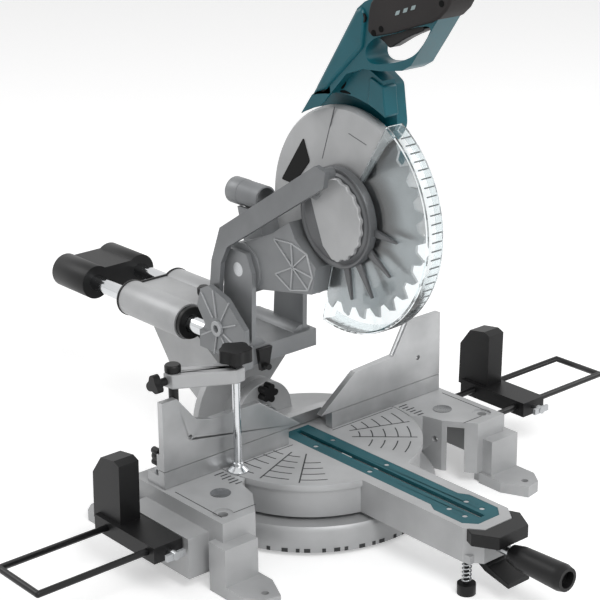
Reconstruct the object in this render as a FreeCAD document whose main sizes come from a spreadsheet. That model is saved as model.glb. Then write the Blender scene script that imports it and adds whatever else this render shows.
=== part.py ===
import FreeCAD, Part
import os
import re
import math
import Sketcher

# Bench-top sliding compound mitre saw, in millimetres.
# +X right, +Y away from the operator, +Z up. The origin is on the bench, under the turntable's
# pivot. The fence face is the plane y = 0 and the saw blade is the plane x = 0.

SIZES = {
    # turntable and base
    "table_height": 86.0, "table_radius": 141.0, "table_plate": 8.0, "table_skirt_low": 43.0,
    "table_gap": 1.5, "table_wall": 7.0, "hub_radius": 26.0, "seat_height": 34.0,
    "pivot_radius": 8.0, "running_gap": 0.05, "face_gap": 0.3, "ring_radius": 158.0,
    "ring_wall": 8.0, "ring_top": 38.0, "ring_low": 6.0, "base_boss_radius": 30.0,
    "rib_thick": 7.0, "base_wall": 8.0,
    "wing_inner": 128.0, "wing_outer": 232.0, "wing_front": 114.0, "wing_back": 60.0,
    "wing_low": 16.0, "ledge_outer": 262.0, "ledge_height": 67.0,
    "foot_height": 15.0, "bench_hole_radius": 4.5, "bench_hole_x": 216.0,
    "bench_hole_front": 168.0, "bench_hole_back": 130.0,
    "post_radius": 6.0, "post_hole_x": 214.0, "post_hole_y": 92.0,
    # front arm, kerf insert and what is on the arm
    "arm_half": 37.0, "arm_end": 322.0, "arm_chamfer": 20.0, "arm_low": 43.0, "arm_wall": 5.0,
    "insert_half": 22.0, "insert_end_half": 29.0, "insert_step": 236.0, "insert_end": 307.0,
    "insert_back": 30.0, "insert_thick": 5.0, "insert_gap": 0.3, "kerf_half": 4.0,
    "kerf_depth": 14.0, "screw_radius": 3.0,
    "bezel_half": 40.0, "bezel_front": 346.0, "bezel_low": 70.0,
    "lock_rod_radius": 5.0, "lock_rod_height": 57.0, "lock_grip_start": 345.0,
    "lock_grip_end": 426.0, "lock_grip_radius": 16.0,
    "paddle_half": 22.0, "paddle_front": 352.0, "paddle_height": 34.0,
    "foot_x": 28.0, "foot_y": 305.0, "foot_wheel_radius": 11.0, "foot_wheel_height": 13.0,
    "foot_rod_radius": 3.0,
    # fences
    "fence_half": 228.0, "fence_height": 22.0, "fence_thick": 12.0, "fence_inner": 22.0,
    "fence_plate": 9.0, "fence_top": 196.0, "fence_mid": 156.0, "bridge_half": 64.0,
    "bridge_front": 34.0, "bridge_back": 46.0, "bridge_height": 16.0,
    # rear bevel hinge and rail support
    "bevel_radius": 46.0, "bevel_front": 90.0, "bevel_face": 106.0, "bevel_disc": 18.0,
    "bevel_bolt_radius": 9.0, "quadrant_radius": 88.0, "notch_gap": 3.0,
    "rail_radius": 11.0, "rail_half": 37.0, "rail_height": 195.0, "rail_front": 68.0,
    "rail_back": 478.0, "housing_radius": 24.0, "housing_front": 198.0, "housing_back": 322.0,
    "seal_thick": 4.0, "bush_wall": 3.5, "bush_length": 28.0, "leg_half": 24.0,
    "cap_front": 408.0, "cap_length": 76.0, "cap_radius": 23.5,
    # carriage and head hinge
    "pivot_y": 82.0, "pivot_z": 298.0, "barrel_radius": 33.0, "barrel_half": 38.0,
    "ear_thick": 7.0, "pin_radius": 9.0, "carriage_half": 56.0, "carriage_low": 180.0,
    "carriage_top": 203.0, "socket_radius": 16.0, "carriage_front": 52.0, "carriage_back": 150.0,
    "cheek_inner": 60.0, "cheek_outer": 68.0, "link_y": 118.0, "link_z": 254.0,
    # blade, guards and drive
    "blade_y": 73.0, "blade_z": 395.0, "blade_radius": 125.0, "blade_thick": 2.6,
    "blade_bore": 15.0, "flange_radius": 25.0, "flange_thick": 5.0, "teeth": 28.0,
    "guard_radius": 130.0, "guard_half": 10.0, "guard_wall": 2.5,
    "visor_radius": 143.0, "visor_wall": 2.5, "visor_left": 13.0, "visor_right": 12.0,
    "visor_hub": 61.0, "visor_hub_left": 24.0,
    "hub_cover_radius": 51.0, "hub_cover_left": 30.0, "hub_neck": 40.0, "link_inner": 50.0, "link_outer": 57.0,
    "gear_case_left": 14.0, "gear_case_right": 60.0, "gear_case_radius": 52.0, "gear_radius": 34.0,
    "motor_y": 43.0, "motor_rise": 100.0, "motor_radius": 40.0,
    "motor_left": 20.0, "motor_right": 92.0, "motor_cap": 24.0, 
    "rotor_radius": 22.0, "shaft_radius": 5.0,
    "handle_half": 17.0, "port_radius": 17.0,
    # extension wires, end stops and clamp
    "wire_radius": 4.0, "wire_front": 66.0, "wire_rear": 13.0, "wire_height": 58.0,
    "wire_inner": 214.0, "wire_left_end": 449.0, "wire_right_end": 480.0, "wire_bend": 10.0,
    "stop_width": 40.0, "stop_left_x": 264.0, "stop_right_x": 308.0, "stop_top": 145.0,
    "clamp_x": 195.0, "clamp_y": 21.0, "clamp_reach_x": 65.0, "clamp_reach_y": 37.0,
    "clamp_arm_low": 203.0, "clamp_arm_high": 221.0, "spindle_radius": 5.0,
    "clamp_pad_radius": 13.0, "clamp_knob_radius": 20.0, "clamp_knob_top": 246.0,
}

doc = FreeCAD.newDocument("mitre_saw")
sheet = doc.addObject("Spreadsheet::Sheet", "Sizes")
for row, (alias, value) in enumerate(SIZES.items(), start=1):
    sheet.set(f"A{row}", alias)
    sheet.set(f"B{row}", str(value))
    sheet.setAlias(f"B{row}", alias)
doc.recompute()

AXES = {
    "X": FreeCAD.Rotation(FreeCAD.Vector(0, 1, 0), 90),
    "Y": FreeCAD.Rotation(FreeCAD.Vector(1, 0, 0), -90),
    "Z": FreeCAD.Rotation(),
}
PLANES = {"X": "YZ_Plane", "Y": "XZ_Plane", "Z": "XY_Plane"}
finished = []


def size(alias):
    """A driving dimension's number, for shapes that Part's own functions make."""
    return float(sheet.get(alias))


def bound(text):
    """An expression in which every sheet alias is written out with its sheet."""
    return re.sub(r"[a-z][a-z_]+", lambda word: "Sizes." + word.group() if word.group() in SIZES
                  else word.group(), str(text))


def bind(item, **expressions):
    for prop, text in expressions.items():
        item.setExpression(prop.replace("__", "."), bound(text))


def place(item, x=0, y=0, z=0):
    """Bind the three coordinates of an object's placement."""
    for letter, text in (("x", x), ("y", y), ("z", z)):
        item.setExpression("Placement.Base." + letter, bound(text))
    return item


def box(name, x, y, z):
    """A block between two planes along each axis."""
    item = doc.addObject("Part::Box", name)
    bind(item, Length=f"({x[1]})-({x[0]})", Width=f"({y[1]})-({y[0]})",
         Height=f"({z[1]})-({z[0]})")
    return place(item, x[0], y[0], z[0])


def rod(name, axis, radius, centre, span):
    """A cylinder along an axis: centre is its two other coordinates, in X, Y, Z order."""
    item = doc.addObject("Part::Cylinder", name)
    item.Placement = FreeCAD.Placement(FreeCAD.Vector(), AXES[axis])
    bind(item, Radius=radius, Height=f"({span[1]})-({span[0]})")
    point = list(centre)
    point.insert("XYZ".index(axis), span[0])
    return place(item, *point)


def outline(body, plane, points):
    """A closed sketch whose every corner is held by two dimensions."""
    sketch = body.newObject("Sketcher::SketchObject", body.Name + "_outline")
    sketch.AttachmentSupport = [(next(part for part in body.Origin.OriginFeatures
                                      if part.Role == plane), "")]
    sketch.MapMode = "FlatFace"
    count = len(points)
    ring = [FreeCAD.Vector(math.cos(2 * math.pi * i / count), math.sin(2 * math.pi * i / count), 0)
            for i in range(count)]
    for i in range(count):
        sketch.addGeometry(Part.LineSegment(ring[i], ring[(i + 1) % count]), False)
    for i in range(count):
        sketch.addConstraint(Sketcher.Constraint("Coincident", i, 2, (i + 1) % count, 1))
    for i, corner in enumerate(points):
        for kind, text in zip(("DistanceX", "DistanceY"), corner):
            index = sketch.addConstraint(Sketcher.Constraint(kind, -1, 1, i, 1, 1.0))
            sketch.setExpression(f"Constraints[{index}]", bound(text))
    return sketch


def prism(name, axis, points, span):
    """A sketched outline padded along an axis. Points are the two other coordinates."""
    body = doc.addObject("PartDesign::Body", name)
    sketch = outline(body, PLANES[axis], points)
    pad = body.newObject("PartDesign::Pad", name + "_pad")
    pad.Profile = sketch
    pad.Reversed = axis == "Y"
    bind(pad, Length=f"({span[1]})-({span[0]})")
    offset = {axis.lower(): span[0]}
    return place(body, **offset)


def turned(name, axis, points, centre):
    """A sketched half section of (radius, distance along the axis), turned a full circle."""
    body = doc.addObject("PartDesign::Body", name)
    sketch = outline(body, "XZ_Plane", points)
    spin = body.newObject("PartDesign::Revolution", name + "_turn")
    spin.Profile = sketch
    spin.ReferenceAxis = (sketch, ["V_Axis"])
    spin.Angle = 360
    body.Placement = FreeCAD.Placement(FreeCAD.Vector(), AXES[axis])
    point = list(centre)
    point.insert("XYZ".index(axis), 0)
    return place(body, *point)


def joined(name, parts):
    item = doc.addObject("Part::MultiFuse", name)
    item.Shapes = parts
    item.Refine = True
    return item


def without(name, base, tools):
    """The base with every tool taken away."""
    tool = tools[0]
    if len(tools) > 1:
        tool = doc.addObject("Part::MultiFuse", name + "_cutters")
        tool.Shapes = tools
    item = doc.addObject("Part::Cut", name)
    item.Base = base
    item.Tool = tool
    item.Refine = True
    return item


def group(name, parts):
    """Several separate solids kept as one sub-part."""
    item = doc.addObject("Part::Compound", name)
    item.Links = parts
    return item


def finish(item, label):
    item.Label = label
    finished.append(item)


def sided(side, near, far):
    """The span from near to far on the right side (+1) or mirrored on the left side (-1)."""
    if side > 0:
        return (near, far)
    return (f"-({far})", f"-({near})")


def mirrored(side, points):
    """The (x, y) corners on one side of the saw."""
    return [(f"{side}*({x})", y) for x, y in points]


SIDES = (("left", -1), ("right", 1))


# ---------------------------------------------------------------- base
def wing(side_name, side):
    """One table wing with its wire ledge and its two feet."""
    top = prism(f"wing_{side_name}", "Z", mirrored(side, [
        ("wing_inner", "wing_back"), ("wing_inner", "-30"), ("wing_inner+22", "-48"),
        ("wing_inner+29", "-76"), ("wing_outer-48", "-wing_front"),
        ("wing_outer", "-wing_front"), ("wing_outer", "wing_back")]),
        ("wing_low", "table_height"))
    ledge = box(f"ledge_{side_name}", sided(side, "wing_outer-1", "ledge_outer"),
                ("-wire_front-22", "wire_rear+20"), ("wing_low", "ledge_height"))
    front_leg = box(f"front_leg_{side_name}", sided(side, "wing_outer-38", "wing_outer+10"),
                    ("-wing_front-16", "-wing_front+14"), ("0", "ledge_height-5"))
    front_foot = prism(f"front_foot_{side_name}", "Z", mirrored(side, [
        ("bench_hole_x-26", "-wing_front+2"), ("bench_hole_x-26", "-bench_hole_front+18"),
        ("bench_hole_x-10", "-bench_hole_front-16"),
        ("bench_hole_x+12", "-bench_hole_front-12"),
        ("bench_hole_x+26", "-bench_hole_front+8"), ("bench_hole_x+26", "-wing_front+2")]),
        ("0", "foot_height"))
    rear_leg = box(f"rear_leg_{side_name}", sided(side, "wing_outer-38", "wing_outer+10"),
                   ("wing_back-14", "wing_back+16"), ("0", "ledge_height-5"))
    rear_foot = prism(f"rear_foot_{side_name}", "Z", mirrored(side, [
        ("bench_hole_x-26", "wing_back-2"), ("bench_hole_x+30", "wing_back-2"),
        ("bench_hole_x+30", "bench_hole_back+10"), ("bench_hole_x+18", "bench_hole_back+20"),
        ("bench_hole_x-14", "bench_hole_back+20"), ("bench_hole_x-26", "bench_hole_back+8")]),
        ("0", "foot_height"))
    return [top, ledge, front_leg, front_foot, rear_leg, rear_foot]


def wing_cutters(side_name, side):
    """The hollow under a wing, its wire bores, its clamp post hole and its bench bolt holes."""
    hollow = box(f"hollow_{side_name}", sided(side, "ring_radius+3", "wing_outer-base_wall"),
                 ("-wing_front+base_wall+6", "wing_back-base_wall-8"),
                 ("wing_low-1", "table_height-base_wall"))
    reach = sided(side, "wire_inner-62", "ledge_outer+1")
    bores = [rod(f"wire_bore_{side_name}_{i}", "X", "wire_radius+face_gap", (y, "wire_height"), reach)
             for i, y in enumerate(("-wire_front", "wire_rear"))]
    post = rod(f"post_hole_{side_name}", "Z", "post_radius+0.2",
               (f"{side}*post_hole_x", "-post_hole_y"), ("wing_low-1", "table_height+1"))
    sink = rod(f"post_sink_{side_name}", "Z", "post_radius+6",
               (f"{side}*post_hole_x", "-post_hole_y"), ("table_height-2", "table_height+1"))
    rear_post = rod(f"rear_post_hole_{side_name}", "Z", "post_radius+0.2",
                    (f"{side}*clamp_x", "clamp_y"), ("wing_low-1", "table_height+1"))
    bolts = [rod(f"bench_hole_{side_name}_{i}", "Z", "bench_hole_radius",
                 (f"{side}*bench_hole_x", y), ("-1", "foot_height+60"))
             for i, y in enumerate(("-bench_hole_front", "bench_hole_back"))]
    return [hollow, post, sink, rear_post] + bores + bolts


def base_casting():
    skirt = turned("skirt", "Z", [
        ("ring_radius-ring_wall", "ring_low"), ("ring_radius", "ring_low"),
        ("ring_radius", "ring_top-6"), ("ring_radius-4", "ring_top"),
        ("table_radius-24", "ring_top"), ("table_radius-24", "ring_top-5"),
        ("ring_radius-ring_wall", "ring_top-5")], ("0", "0"))
    boss = rod("boss", "Z", "base_boss_radius", ("0", "0"), ("0", "seat_height"))
    cross = "ring_radius-ring_wall/2"
    ribs = [box("rib_across", (f"-({cross})", cross), ("-rib_thick/2", "rib_thick/2"),
                ("ring_low+4", "ring_top-5")),
            box("rib_along", ("-rib_thick/2", "rib_thick/2"), (f"-({cross})", cross),
                ("ring_low+4", "ring_top-5"))]
    cutters = [
        rod("seat_clearance", "Z", "table_radius-24", ("0", "0"), ("seat_height", "ring_top+1")),
        rod("pivot_hole", "Z", "pivot_radius+running_gap", ("0", "0"), ("ring_low+4", "seat_height+1"))]
    finish(without("base_cut", joined("base_solid", [skirt, boss] + ribs), cutters), "base_casting")


def table_wing(side_name, side):
    """One wing casting, which laps over the ring and closes against its side."""
    cutters = wing_cutters(side_name, side) + [
        rod(f"table_well_{side_name}", "Z", "table_radius+table_gap", ("0", "0"),
            ("ring_top", "table_height+1")),
        rod(f"ring_lap_{side_name}", "Z", "ring_radius+face_gap", ("0", "0"), ("-1", "ring_top"))]
    finish(without(f"table_wing_{side_name}_cut",
                   joined(f"table_wing_{side_name}_solid", wing(side_name, side)), cutters),
           f"table_wing_{side_name}")


def pivot_bolt():
    """The bolt that the turntable turns on, screwed down into the base's hub."""
    finish(turned("pivot", "Z", [
        ("0", "ring_low+5"), ("pivot_radius", "ring_low+5"), ("pivot_radius", "table_height-25"),
        ("pivot_radius+4", "table_height-25"), ("pivot_radius+4", "table_height-15"),
        ("0", "table_height-15")], ("0", "0")), "pivot_bolt")


def lower_fence():
    """The fixed fence: two bars on the wings joined behind the blade by a bridge."""
    solids = []
    cutters = []
    for name, side in SIDES:
        solids.append(box(f"fence_bar_{name}", sided(side, "fence_inner+14", "fence_half"),
                          ("0", "fence_thick"), ("table_height+0.4", "table_height+fence_height")))
        solids.append(box(f"fence_arm_{name}", sided(side, "bridge_half-18", "bridge_half"),
                          ("fence_thick-1", "bridge_back"),
                          ("table_height+2", "table_height+bridge_height")))
        solids.append(box(f"fence_seat_{name}", sided(side, "clamp_x-14", "fence_half"),
                          ("fence_thick-1", "clamp_y+12"),
                          ("table_height", "table_height+fence_height-8")))
        cutters.append(rod(f"fence_post_hole_{name}", "Z", "post_radius+0.2",
                           (f"{side}*clamp_x", "clamp_y"),
                           ("table_height-1", "table_height+fence_height+1")))
        cutters.append(rod(f"fence_bolt_hole_{name}", "Z", "screw_radius",
                           (f"{side}*(fence_half-9)", "clamp_y+2"),
                           ("table_height-1", "table_height+fence_height+1")))
    solids.append(box("fence_bridge", ("-bridge_half", "bridge_half"),
                      ("bridge_front", "bridge_back"),
                      ("table_height+2", "table_height+bridge_height")))
    finish(without("fence_cut", joined("fence_solid", solids), cutters), "lower_fence")


def fence_bolts():
    """The cap screws that hold the fence down to the wings."""
    top = "table_height+fence_height-8"
    screws = [turned(f"fence_bolt_{name}", "Z", [
        ("0", "table_height"), ("screw_radius-0.1", "table_height"), ("screw_radius-0.1", top),
        ("screw_radius+2", top), ("screw_radius+2", top + "+4"), ("0", top + "+4")],
        (f"{side}*(fence_half-9)", "clamp_y+2")) for name, side in SIDES]
    finish(group("fence_bolt_pair", screws), "fence_bolts")


def fence_plate(side_name, side):
    """A tall sliding fence plate with the tongue that its clamp screw pulls on."""
    low = "table_height+fence_height+face_gap"
    if side < 0:
        corners = [("fence_half", low), ("fence_inner-6", low), ("fence_inner+60", "fence_mid"),
                   ("fence_half-72", "fence_mid"), ("fence_half-50", "fence_mid+6"),
                   ("fence_half-22", "fence_top"), ("fence_half", "fence_top")]
    else:
        corners = [("fence_half", low), ("fence_inner-4", low), ("fence_inner+54", "fence_mid-4"),
                   ("fence_half-84", "fence_mid"), ("fence_half-60", "fence_top"),
                   ("fence_half", "fence_top")]
    plate = prism(f"plate_{side_name}", "Y", mirrored(side, corners), ("0", "fence_plate"))
    tongue = box(f"tongue_{side_name}", sided(side, "fence_half-118", "fence_half-78"),
                 ("fence_thick+0.4", "fence_thick+5"), ("table_height+15", "fence_mid-22"))
    bridge = box(f"tongue_root_{side_name}", sided(side, "fence_half-118", "fence_half-78"),
                 ("fence_plate-1", "fence_thick+5"), (low, "fence_mid-22"))
    boss = box(f"knob_boss_{side_name}", sided(side, "fence_half-18", "fence_half"),
               ("fence_plate-1", "fence_plate+5"), (low, "table_height+fence_height+20"))
    hole = rod(f"plate_hole_{side_name}", "Y", "3", (f"{side}*(fence_half-40)", "table_height+56"),
               ("-1", "fence_plate+1"))
    finish(without(f"plate_cut_{side_name}",
                   joined(f"plate_solid_{side_name}", [plate, tongue, bridge, boss]), [hole]),
           f"fence_plate_{side_name}")


def lobed_knob(name, axis, radius, length, lobes=3):
    """A knob with lobes around a core and a stem, standing at its own origin along +axis."""
    core = rod(name + "_core", "Z", f"({radius})*0.62", ("0", "0"), ("0", length))
    parts = [core]
    for i in range(lobes):
        turn = math.radians(360 * i / lobes)
        parts.append(rod(f"{name}_lobe_{i}", "Z", f"({radius})*0.34",
                         (f"({radius})*{0.66 * math.cos(turn):.4f}",
                          f"({radius})*{0.66 * math.sin(turn):.4f}"), ("0", length)))
    solid = joined(name + "_solid", parts)
    solid.Placement = FreeCAD.Placement(FreeCAD.Vector(), AXES[axis])
    return solid


def fence_knob(side_name, side):
    knob = lobed_knob(f"fence_knob_{side_name}", "Y", "12.5", "12")
    place(knob, f"{side}*(fence_half-9)", "fence_plate+5+face_gap", "table_height+fence_height+13")
    finish(knob, f"fence_knob_{side_name}")


# ---------------------------------------------------------------- turntable
def insert_corners(gap):
    """The kerf insert's outline, grown by a gap for the recess that it sits in."""
    near = f"insert_half+{gap}"
    wide = f"insert_end_half+{gap}"
    end = f"insert_end+{gap}"
    right = [(near, f"insert_back+{gap}"), (near, "-insert_step"), (wide, "-insert_step-12"),
             (wide, f"-({end})+14"), (f"{wide}-12", f"-({end})")]
    return right + [(f"-({x})", y) for x, y in reversed(right)]


def arm_corners(inset):
    half = f"arm_half-{inset}"
    end = f"arm_end-{inset}"
    right = [(half, "-table_radius+30"), (half, f"-({end})+arm_chamfer"),
             (f"{half}-15", f"-({end})")]
    return right + [(f"-({x})", y) for x, y in reversed(right)]


def turntable():
    plate = rod("plate", "Z", "table_radius", ("0", "0"), ("table_height-table_plate", "table_height"))
    skirt = turned("table_skirt", "Z", [
        ("table_radius-3-table_wall", "table_skirt_low"), ("table_radius-3", "table_skirt_low"),
        ("table_radius-3", "table_height-5"), ("table_radius-3-table_wall", "table_height-5")],
        ("0", "0"))
    hub = rod("hub", "Z", "hub_radius", ("0", "0"), ("seat_height+face_gap", "table_height-2"))
    arm = prism("arm", "Z", arm_corners("0"), ("arm_low", "table_height"))
    ribs = [box("table_rib", ("-table_radius+8", "table_radius-8"), ("-3", "3"),
                ("table_skirt_low+6", "table_height-5"))]
    back = box("hinge_block", ("-bevel_radius+8", "bevel_radius-8"), ("bevel_front-24", "bevel_face"),
               ("table_skirt_low+4", "table_height-2"))
    hollow = prism("arm_hollow", "Z", arm_corners("arm_wall"),
                   ("arm_low-1", "table_height-table_plate-insert_thick"))
    recess = prism("insert_recess", "Z", insert_corners("insert_gap"),
                   ("table_height-insert_thick", "table_height+1"))
    trough = box("kerf_trough", ("-kerf_half*3", "kerf_half*3"), ("-insert_end+8", "insert_back-4"),
                 ("table_height-kerf_depth", "table_height+1"))
    nut_well = rod("nut_well", "Z", "pivot_radius+8", ("0", "0"), ("table_height-26", "table_height+1"))
    bore = rod("hub_bore", "Z", "pivot_radius+running_gap", ("0", "0"), ("seat_height-1", "table_height"))
    notch = rod("hinge_notch", "Y", "bevel_radius+notch_gap", ("0", "table_height"),
                ("bevel_face", "table_radius+5"))
    lock_bore = rod("lock_bore", "Y", "lock_rod_radius+running_gap", ("0", "lock_rod_height"),
                    ("-arm_end-1", "-arm_end+arm_wall+1"))
    bolt_room = rod("bolt_room", "Y", "bevel_bolt_radius+5+face_gap", ("0", "table_height"),
                    ("bevel_front-9", "bevel_front"))
    bolt_bore = rod("bolt_bore", "Y", "bevel_bolt_radius+running_gap", ("0", "table_height"),
                    ("bevel_front-1", "bevel_face+1"))
    foot_bore = rod("foot_bore", "Z", "foot_rod_radius+running_gap", ("-foot_x", "-foot_y+4"),
                    ("arm_low-1", "table_height-12"))
    foot_pad = box("foot_pad", ("-arm_half+1", "-foot_x+8"), ("-foot_y-8", "-foot_y+14"),
                   ("arm_low", "arm_low+10"))
    solid = joined("turntable_solid", [without("arm_shell", joined("table_solid",
                   [plate, skirt, arm, back] + ribs), [hollow]), hub, foot_pad])
    finish(without("turntable_cut", solid, [recess, trough, nut_well, bore, notch, lock_bore,
                                            bolt_room, bolt_bore, foot_bore]), "turntable")


def kerf_insert():
    plate = prism("insert_plate", "Z", insert_corners("0"), ("table_height-insert_thick", "table_height"))
    slot = box("kerf_slot", ("-kerf_half", "kerf_half"), ("-insert_end+10", "insert_back-6"),
               ("table_height-insert_thick-1", "table_height+1"))
    holes = [rod(f"insert_hole_{i}", "Z", "screw_radius+0.2", spot,
                 ("table_height-insert_thick-1", "table_height+1"))
             for i, spot in enumerate(insert_screw_spots())]
    finish(without("insert_cut", plate, [slot] + holes), "kerf_insert")


def insert_screw_spots():
    rows = ("-insert_half-4", "-insert_step/2-6", "-insert_step-22", "-insert_end+24")
    return [(f"{side}*(kerf_half+10)", row) for side in (-1, 1) for row in rows]


def insert_screws():
    screws = [rod(f"insert_screw_{i}", "Z", "screw_radius", spot,
                  ("table_height-insert_thick", "table_height-0.6"))
              for i, spot in enumerate(insert_screw_spots())]
    finish(group("insert_screw_set", screws), "insert_screws")


def pointer_bezel():
    """The plastic cap over the arm's end."""
    right = [("bezel_half-6", "-arm_end+arm_chamfer-2"), ("bezel_half", "-arm_end+4"),
             ("bezel_half-16", "-bezel_front"), ]
    corners = right + [(f"-({x})", y) for x, y in reversed(right)]
    cap = prism("bezel_cap", "Z", corners, ("bezel_low", "table_height-0.5"))
    arm_room = prism("bezel_room", "Z", arm_corners("-0.3"), ("bezel_low-1", "table_height+1"))
    finish(without("bezel_cut", cap, [arm_room]), "pointer_bezel")


def mitre_lock():
    """The clamp screw through the arm's end, with its fluted grip."""
    finish(rod("lock_rod", "Y", "lock_rod_radius", ("0", "lock_rod_height"),
               ("-lock_grip_start-12", "-arm_end+40")), "mitre_lock_rod")
    start = "lock_grip_start"
    end = "lock_grip_end"
    grip = turned("lock_grip", "Y", [
        ("lock_rod_radius", f"-{start}"), ("lock_grip_radius-5", f"-{start}"),
        ("lock_grip_radius-2", f"-{start}-14"), ("lock_grip_radius", f"-{end}+8"),
        ("lock_grip_radius-2", f"-{end}"), ("lock_grip_radius-6", f"-{end}"),
        ("lock_grip_radius-6", f"-{end}+10"), ("0", f"-{end}+10"), ("0", f"-{start}-12"),
        ("lock_rod_radius", f"-{start}-12")], ("0", "lock_rod_height"))
    finish(grip, "mitre_lock_grip")


def detent_lever():
    """The paddle under the arm's end that lifts the detent pin."""
    paddle = prism("paddle", "X", [
        ("-arm_end+24", "arm_low-face_gap"), ("-arm_end+24", "arm_low-5"), ("-arm_end+6", "paddle_height-6"),
        ("-paddle_front", "paddle_height-14"), ("-paddle_front", "paddle_height-8"),
        ("-arm_end+2", "paddle_height+2"), ("-arm_end+12", "arm_low-face_gap")],
        ("-paddle_half+8", "paddle_half"))
    finish(paddle, "detent_lever")


def leveling_foot():
    """The screw foot that stops the arm tipping, with its spring."""
    wheel = turned("foot_wheel", "Z", [
        ("0", "0"), ("foot_wheel_radius", "0"), ("foot_wheel_radius", "foot_wheel_height"),
        ("foot_rod_radius", "foot_wheel_height"), ("foot_rod_radius", "table_height-28"),
        ("0", "table_height-28")], ("-foot_x", "-foot_y+4"))
    finish(wheel, "leveling_foot")
    coil = Part.makeHelix(5.0, size("arm_low") - size("foot_wheel_height") - 3, 5.0)
    ring = Part.Wire([Part.Circle(FreeCAD.Vector(5.0, 0, 0), FreeCAD.Vector(0, 1, 0), 0.9).toShape()])
    item = doc.addObject("Part::Feature", "spring_coil")
    item.Shape = Part.Wire(coil).makePipeShell([ring], True, True)
    place(item, "-foot_x", "-foot_y+4", "foot_wheel_height+1.5")
    finish(item, "foot_spring")


# ---------------------------------------------------------------- bevel hinge and rail support
def bevel_bracket():
    """The fixed half of the bevel hinge, a disc that stands on the turntable's back."""
    disc = rod("bevel_disc_fixed", "Y", "bevel_radius", ("0", "table_height"),
               ("bevel_front", "bevel_face"))
    foot_cut = box("bevel_foot_cut", ("-bevel_radius-1", "bevel_radius+1"),
                   ("bevel_front-1", "bevel_face+1"), ("0", "table_height"))
    bore = rod("bevel_bore", "Y", "bevel_bolt_radius+running_gap", ("0", "table_height"),
               ("bevel_front-1", "bevel_face+1"))
    finish(without("bevel_bracket_cut", disc, [foot_cut, bore]), "bevel_bracket")


def bevel_pivot():
    """The bolt along the bevel axis, at the height of the table's surface."""
    back = "bevel_face+bevel_disc+16"
    half = turned("bevel_bolt", "Y", [
        ("0", "bevel_front-8"), ("bevel_bolt_radius+5", "bevel_front-8"),
        ("bevel_bolt_radius+5", "bevel_front"), ("bevel_bolt_radius", "bevel_front"),
        ("bevel_bolt_radius", back), ("bevel_bolt_radius+4", back),
        ("bevel_bolt_radius+4", back + "+8"), ("0", back + "+8")], ("0", "table_height"))
    finish(half, "bevel_pivot")


def rail_support():
    """The casting that tilts on the bevel pivot and carries the slide rails."""
    face = "bevel_face+face_gap"
    disc = rod("tilt_disc", "Y", "bevel_radius", ("0", "table_height"),
               (face, "bevel_face+bevel_disc"))
    boss = rod("tilt_boss", "Y", "bevel_radius-12", ("0", "table_height"),
               ("bevel_face+bevel_disc-1", "bevel_face+bevel_disc+16-face_gap"))
    quadrant = rod("quadrant", "Y", "quadrant_radius", ("0", "table_height"),
                   ("bevel_face+bevel_disc-6", "bevel_face+bevel_disc+4"))
    trims = [box("quadrant_trim", ("-quadrant_radius-1", "quadrant_radius+1"),
                 ("bevel_face+bevel_disc-8", "bevel_face+bevel_disc+6"), ("-10", "table_height+1"))]
    corner = prism("quadrant_corner", "Y", [
        ("0", "table_height"), ("quadrant_radius*2", "table_height"),
        ("quadrant_radius*2", "table_height+quadrant_radius*2")],
        ("bevel_face+bevel_disc-8", "bevel_face+bevel_disc+6"))
    sector = without("quadrant_sector", quadrant, trims + [corner])
    leg = prism("support_leg", "X", [
        ("bevel_face+bevel_disc-2", "table_height+20"), ("bevel_face+bevel_disc+60", "table_height-16"),
        ("housing_back-60", "table_height+30"), ("housing_back-14", "rail_height-20"),
        ("housing_front+4", "rail_height-20"), ("bevel_face+bevel_disc+8", "table_height+46")],
        ("-leg_half", "leg_half"))
    tubes = [rod(f"housing_tube_{name}", "Y", "housing_radius", (f"{side}*rail_half", "rail_height"),
                 ("housing_front", "housing_back")) for name, side in SIDES]
    web = box("housing_web", ("-rail_half", "rail_half"), ("housing_front", "housing_back"),
              ("rail_height-22", "rail_height+18"))
    bores = [rod(f"bush_bore_{name}", "Y", "rail_radius+bush_wall+running_gap",
                 (f"{side}*rail_half", "rail_height"), ("housing_front-1", "housing_back+1"))
             for name, side in SIDES]
    pivot = rod("tilt_bore", "Y", "bevel_bolt_radius+running_gap", ("0", "table_height"),
                (face + "-1", "bevel_face+bevel_disc+17"))
    nut_room = rod("nut_room", "Y", "bevel_bolt_radius+6", ("0", "table_height"),
                   ("bevel_face+bevel_disc+16-face_gap", "bevel_face+bevel_disc+34"))
    knob_hole = rod("slide_screw_hole", "Z", "screw_radius", ("0", "housing_front+14"),
                    ("rail_height-10", "rail_height+30"))
    solid = joined("support_solid", [disc, boss, sector, leg, web] + tubes)
    finish(without("support_cut", solid, bores + [pivot, nut_room, knob_hole]), "rail_support")


def figure_eight(name, radius, span):
    """Two tubes' outline with the web between them."""
    lobes = [rod(f"{name}_lobe_{side_name}", "Y", radius, (f"{side}*rail_half", "rail_height"), span)
             for side_name, side in SIDES]
    web = box(name + "_web", ("-rail_half", "rail_half"), span,
              (f"rail_height-({radius})+3", f"rail_height+({radius})-5"))
    return joined(name + "_plate", lobes + [web])


def rail_holes(name, radius, span):
    return [rod(f"{name}_{side_name}", "Y", radius, (f"{side}*rail_half", "rail_height"), span)
            for side_name, side in SIDES]


def rail_seals():
    rear_span = ("housing_back", "housing_back+seal_thick")
    finish(without("rear_seal_cut", figure_eight("rear_seal", "housing_radius+1", rear_span),
                   rail_holes("rear_seal_hole", "rail_radius+face_gap",
                              ("housing_back-1", "housing_back+seal_thick+1"))), "rear_seal")
    front_span = ("housing_front-seal_thick-4", "housing_front")
    finish(without("front_seal_cut", figure_eight("front_seal", "housing_radius-2", front_span),
                   rail_holes("front_seal_hole", "rail_radius+face_gap",
                              ("housing_front-seal_thick-5", "housing_front+1"))), "front_seal")


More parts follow.
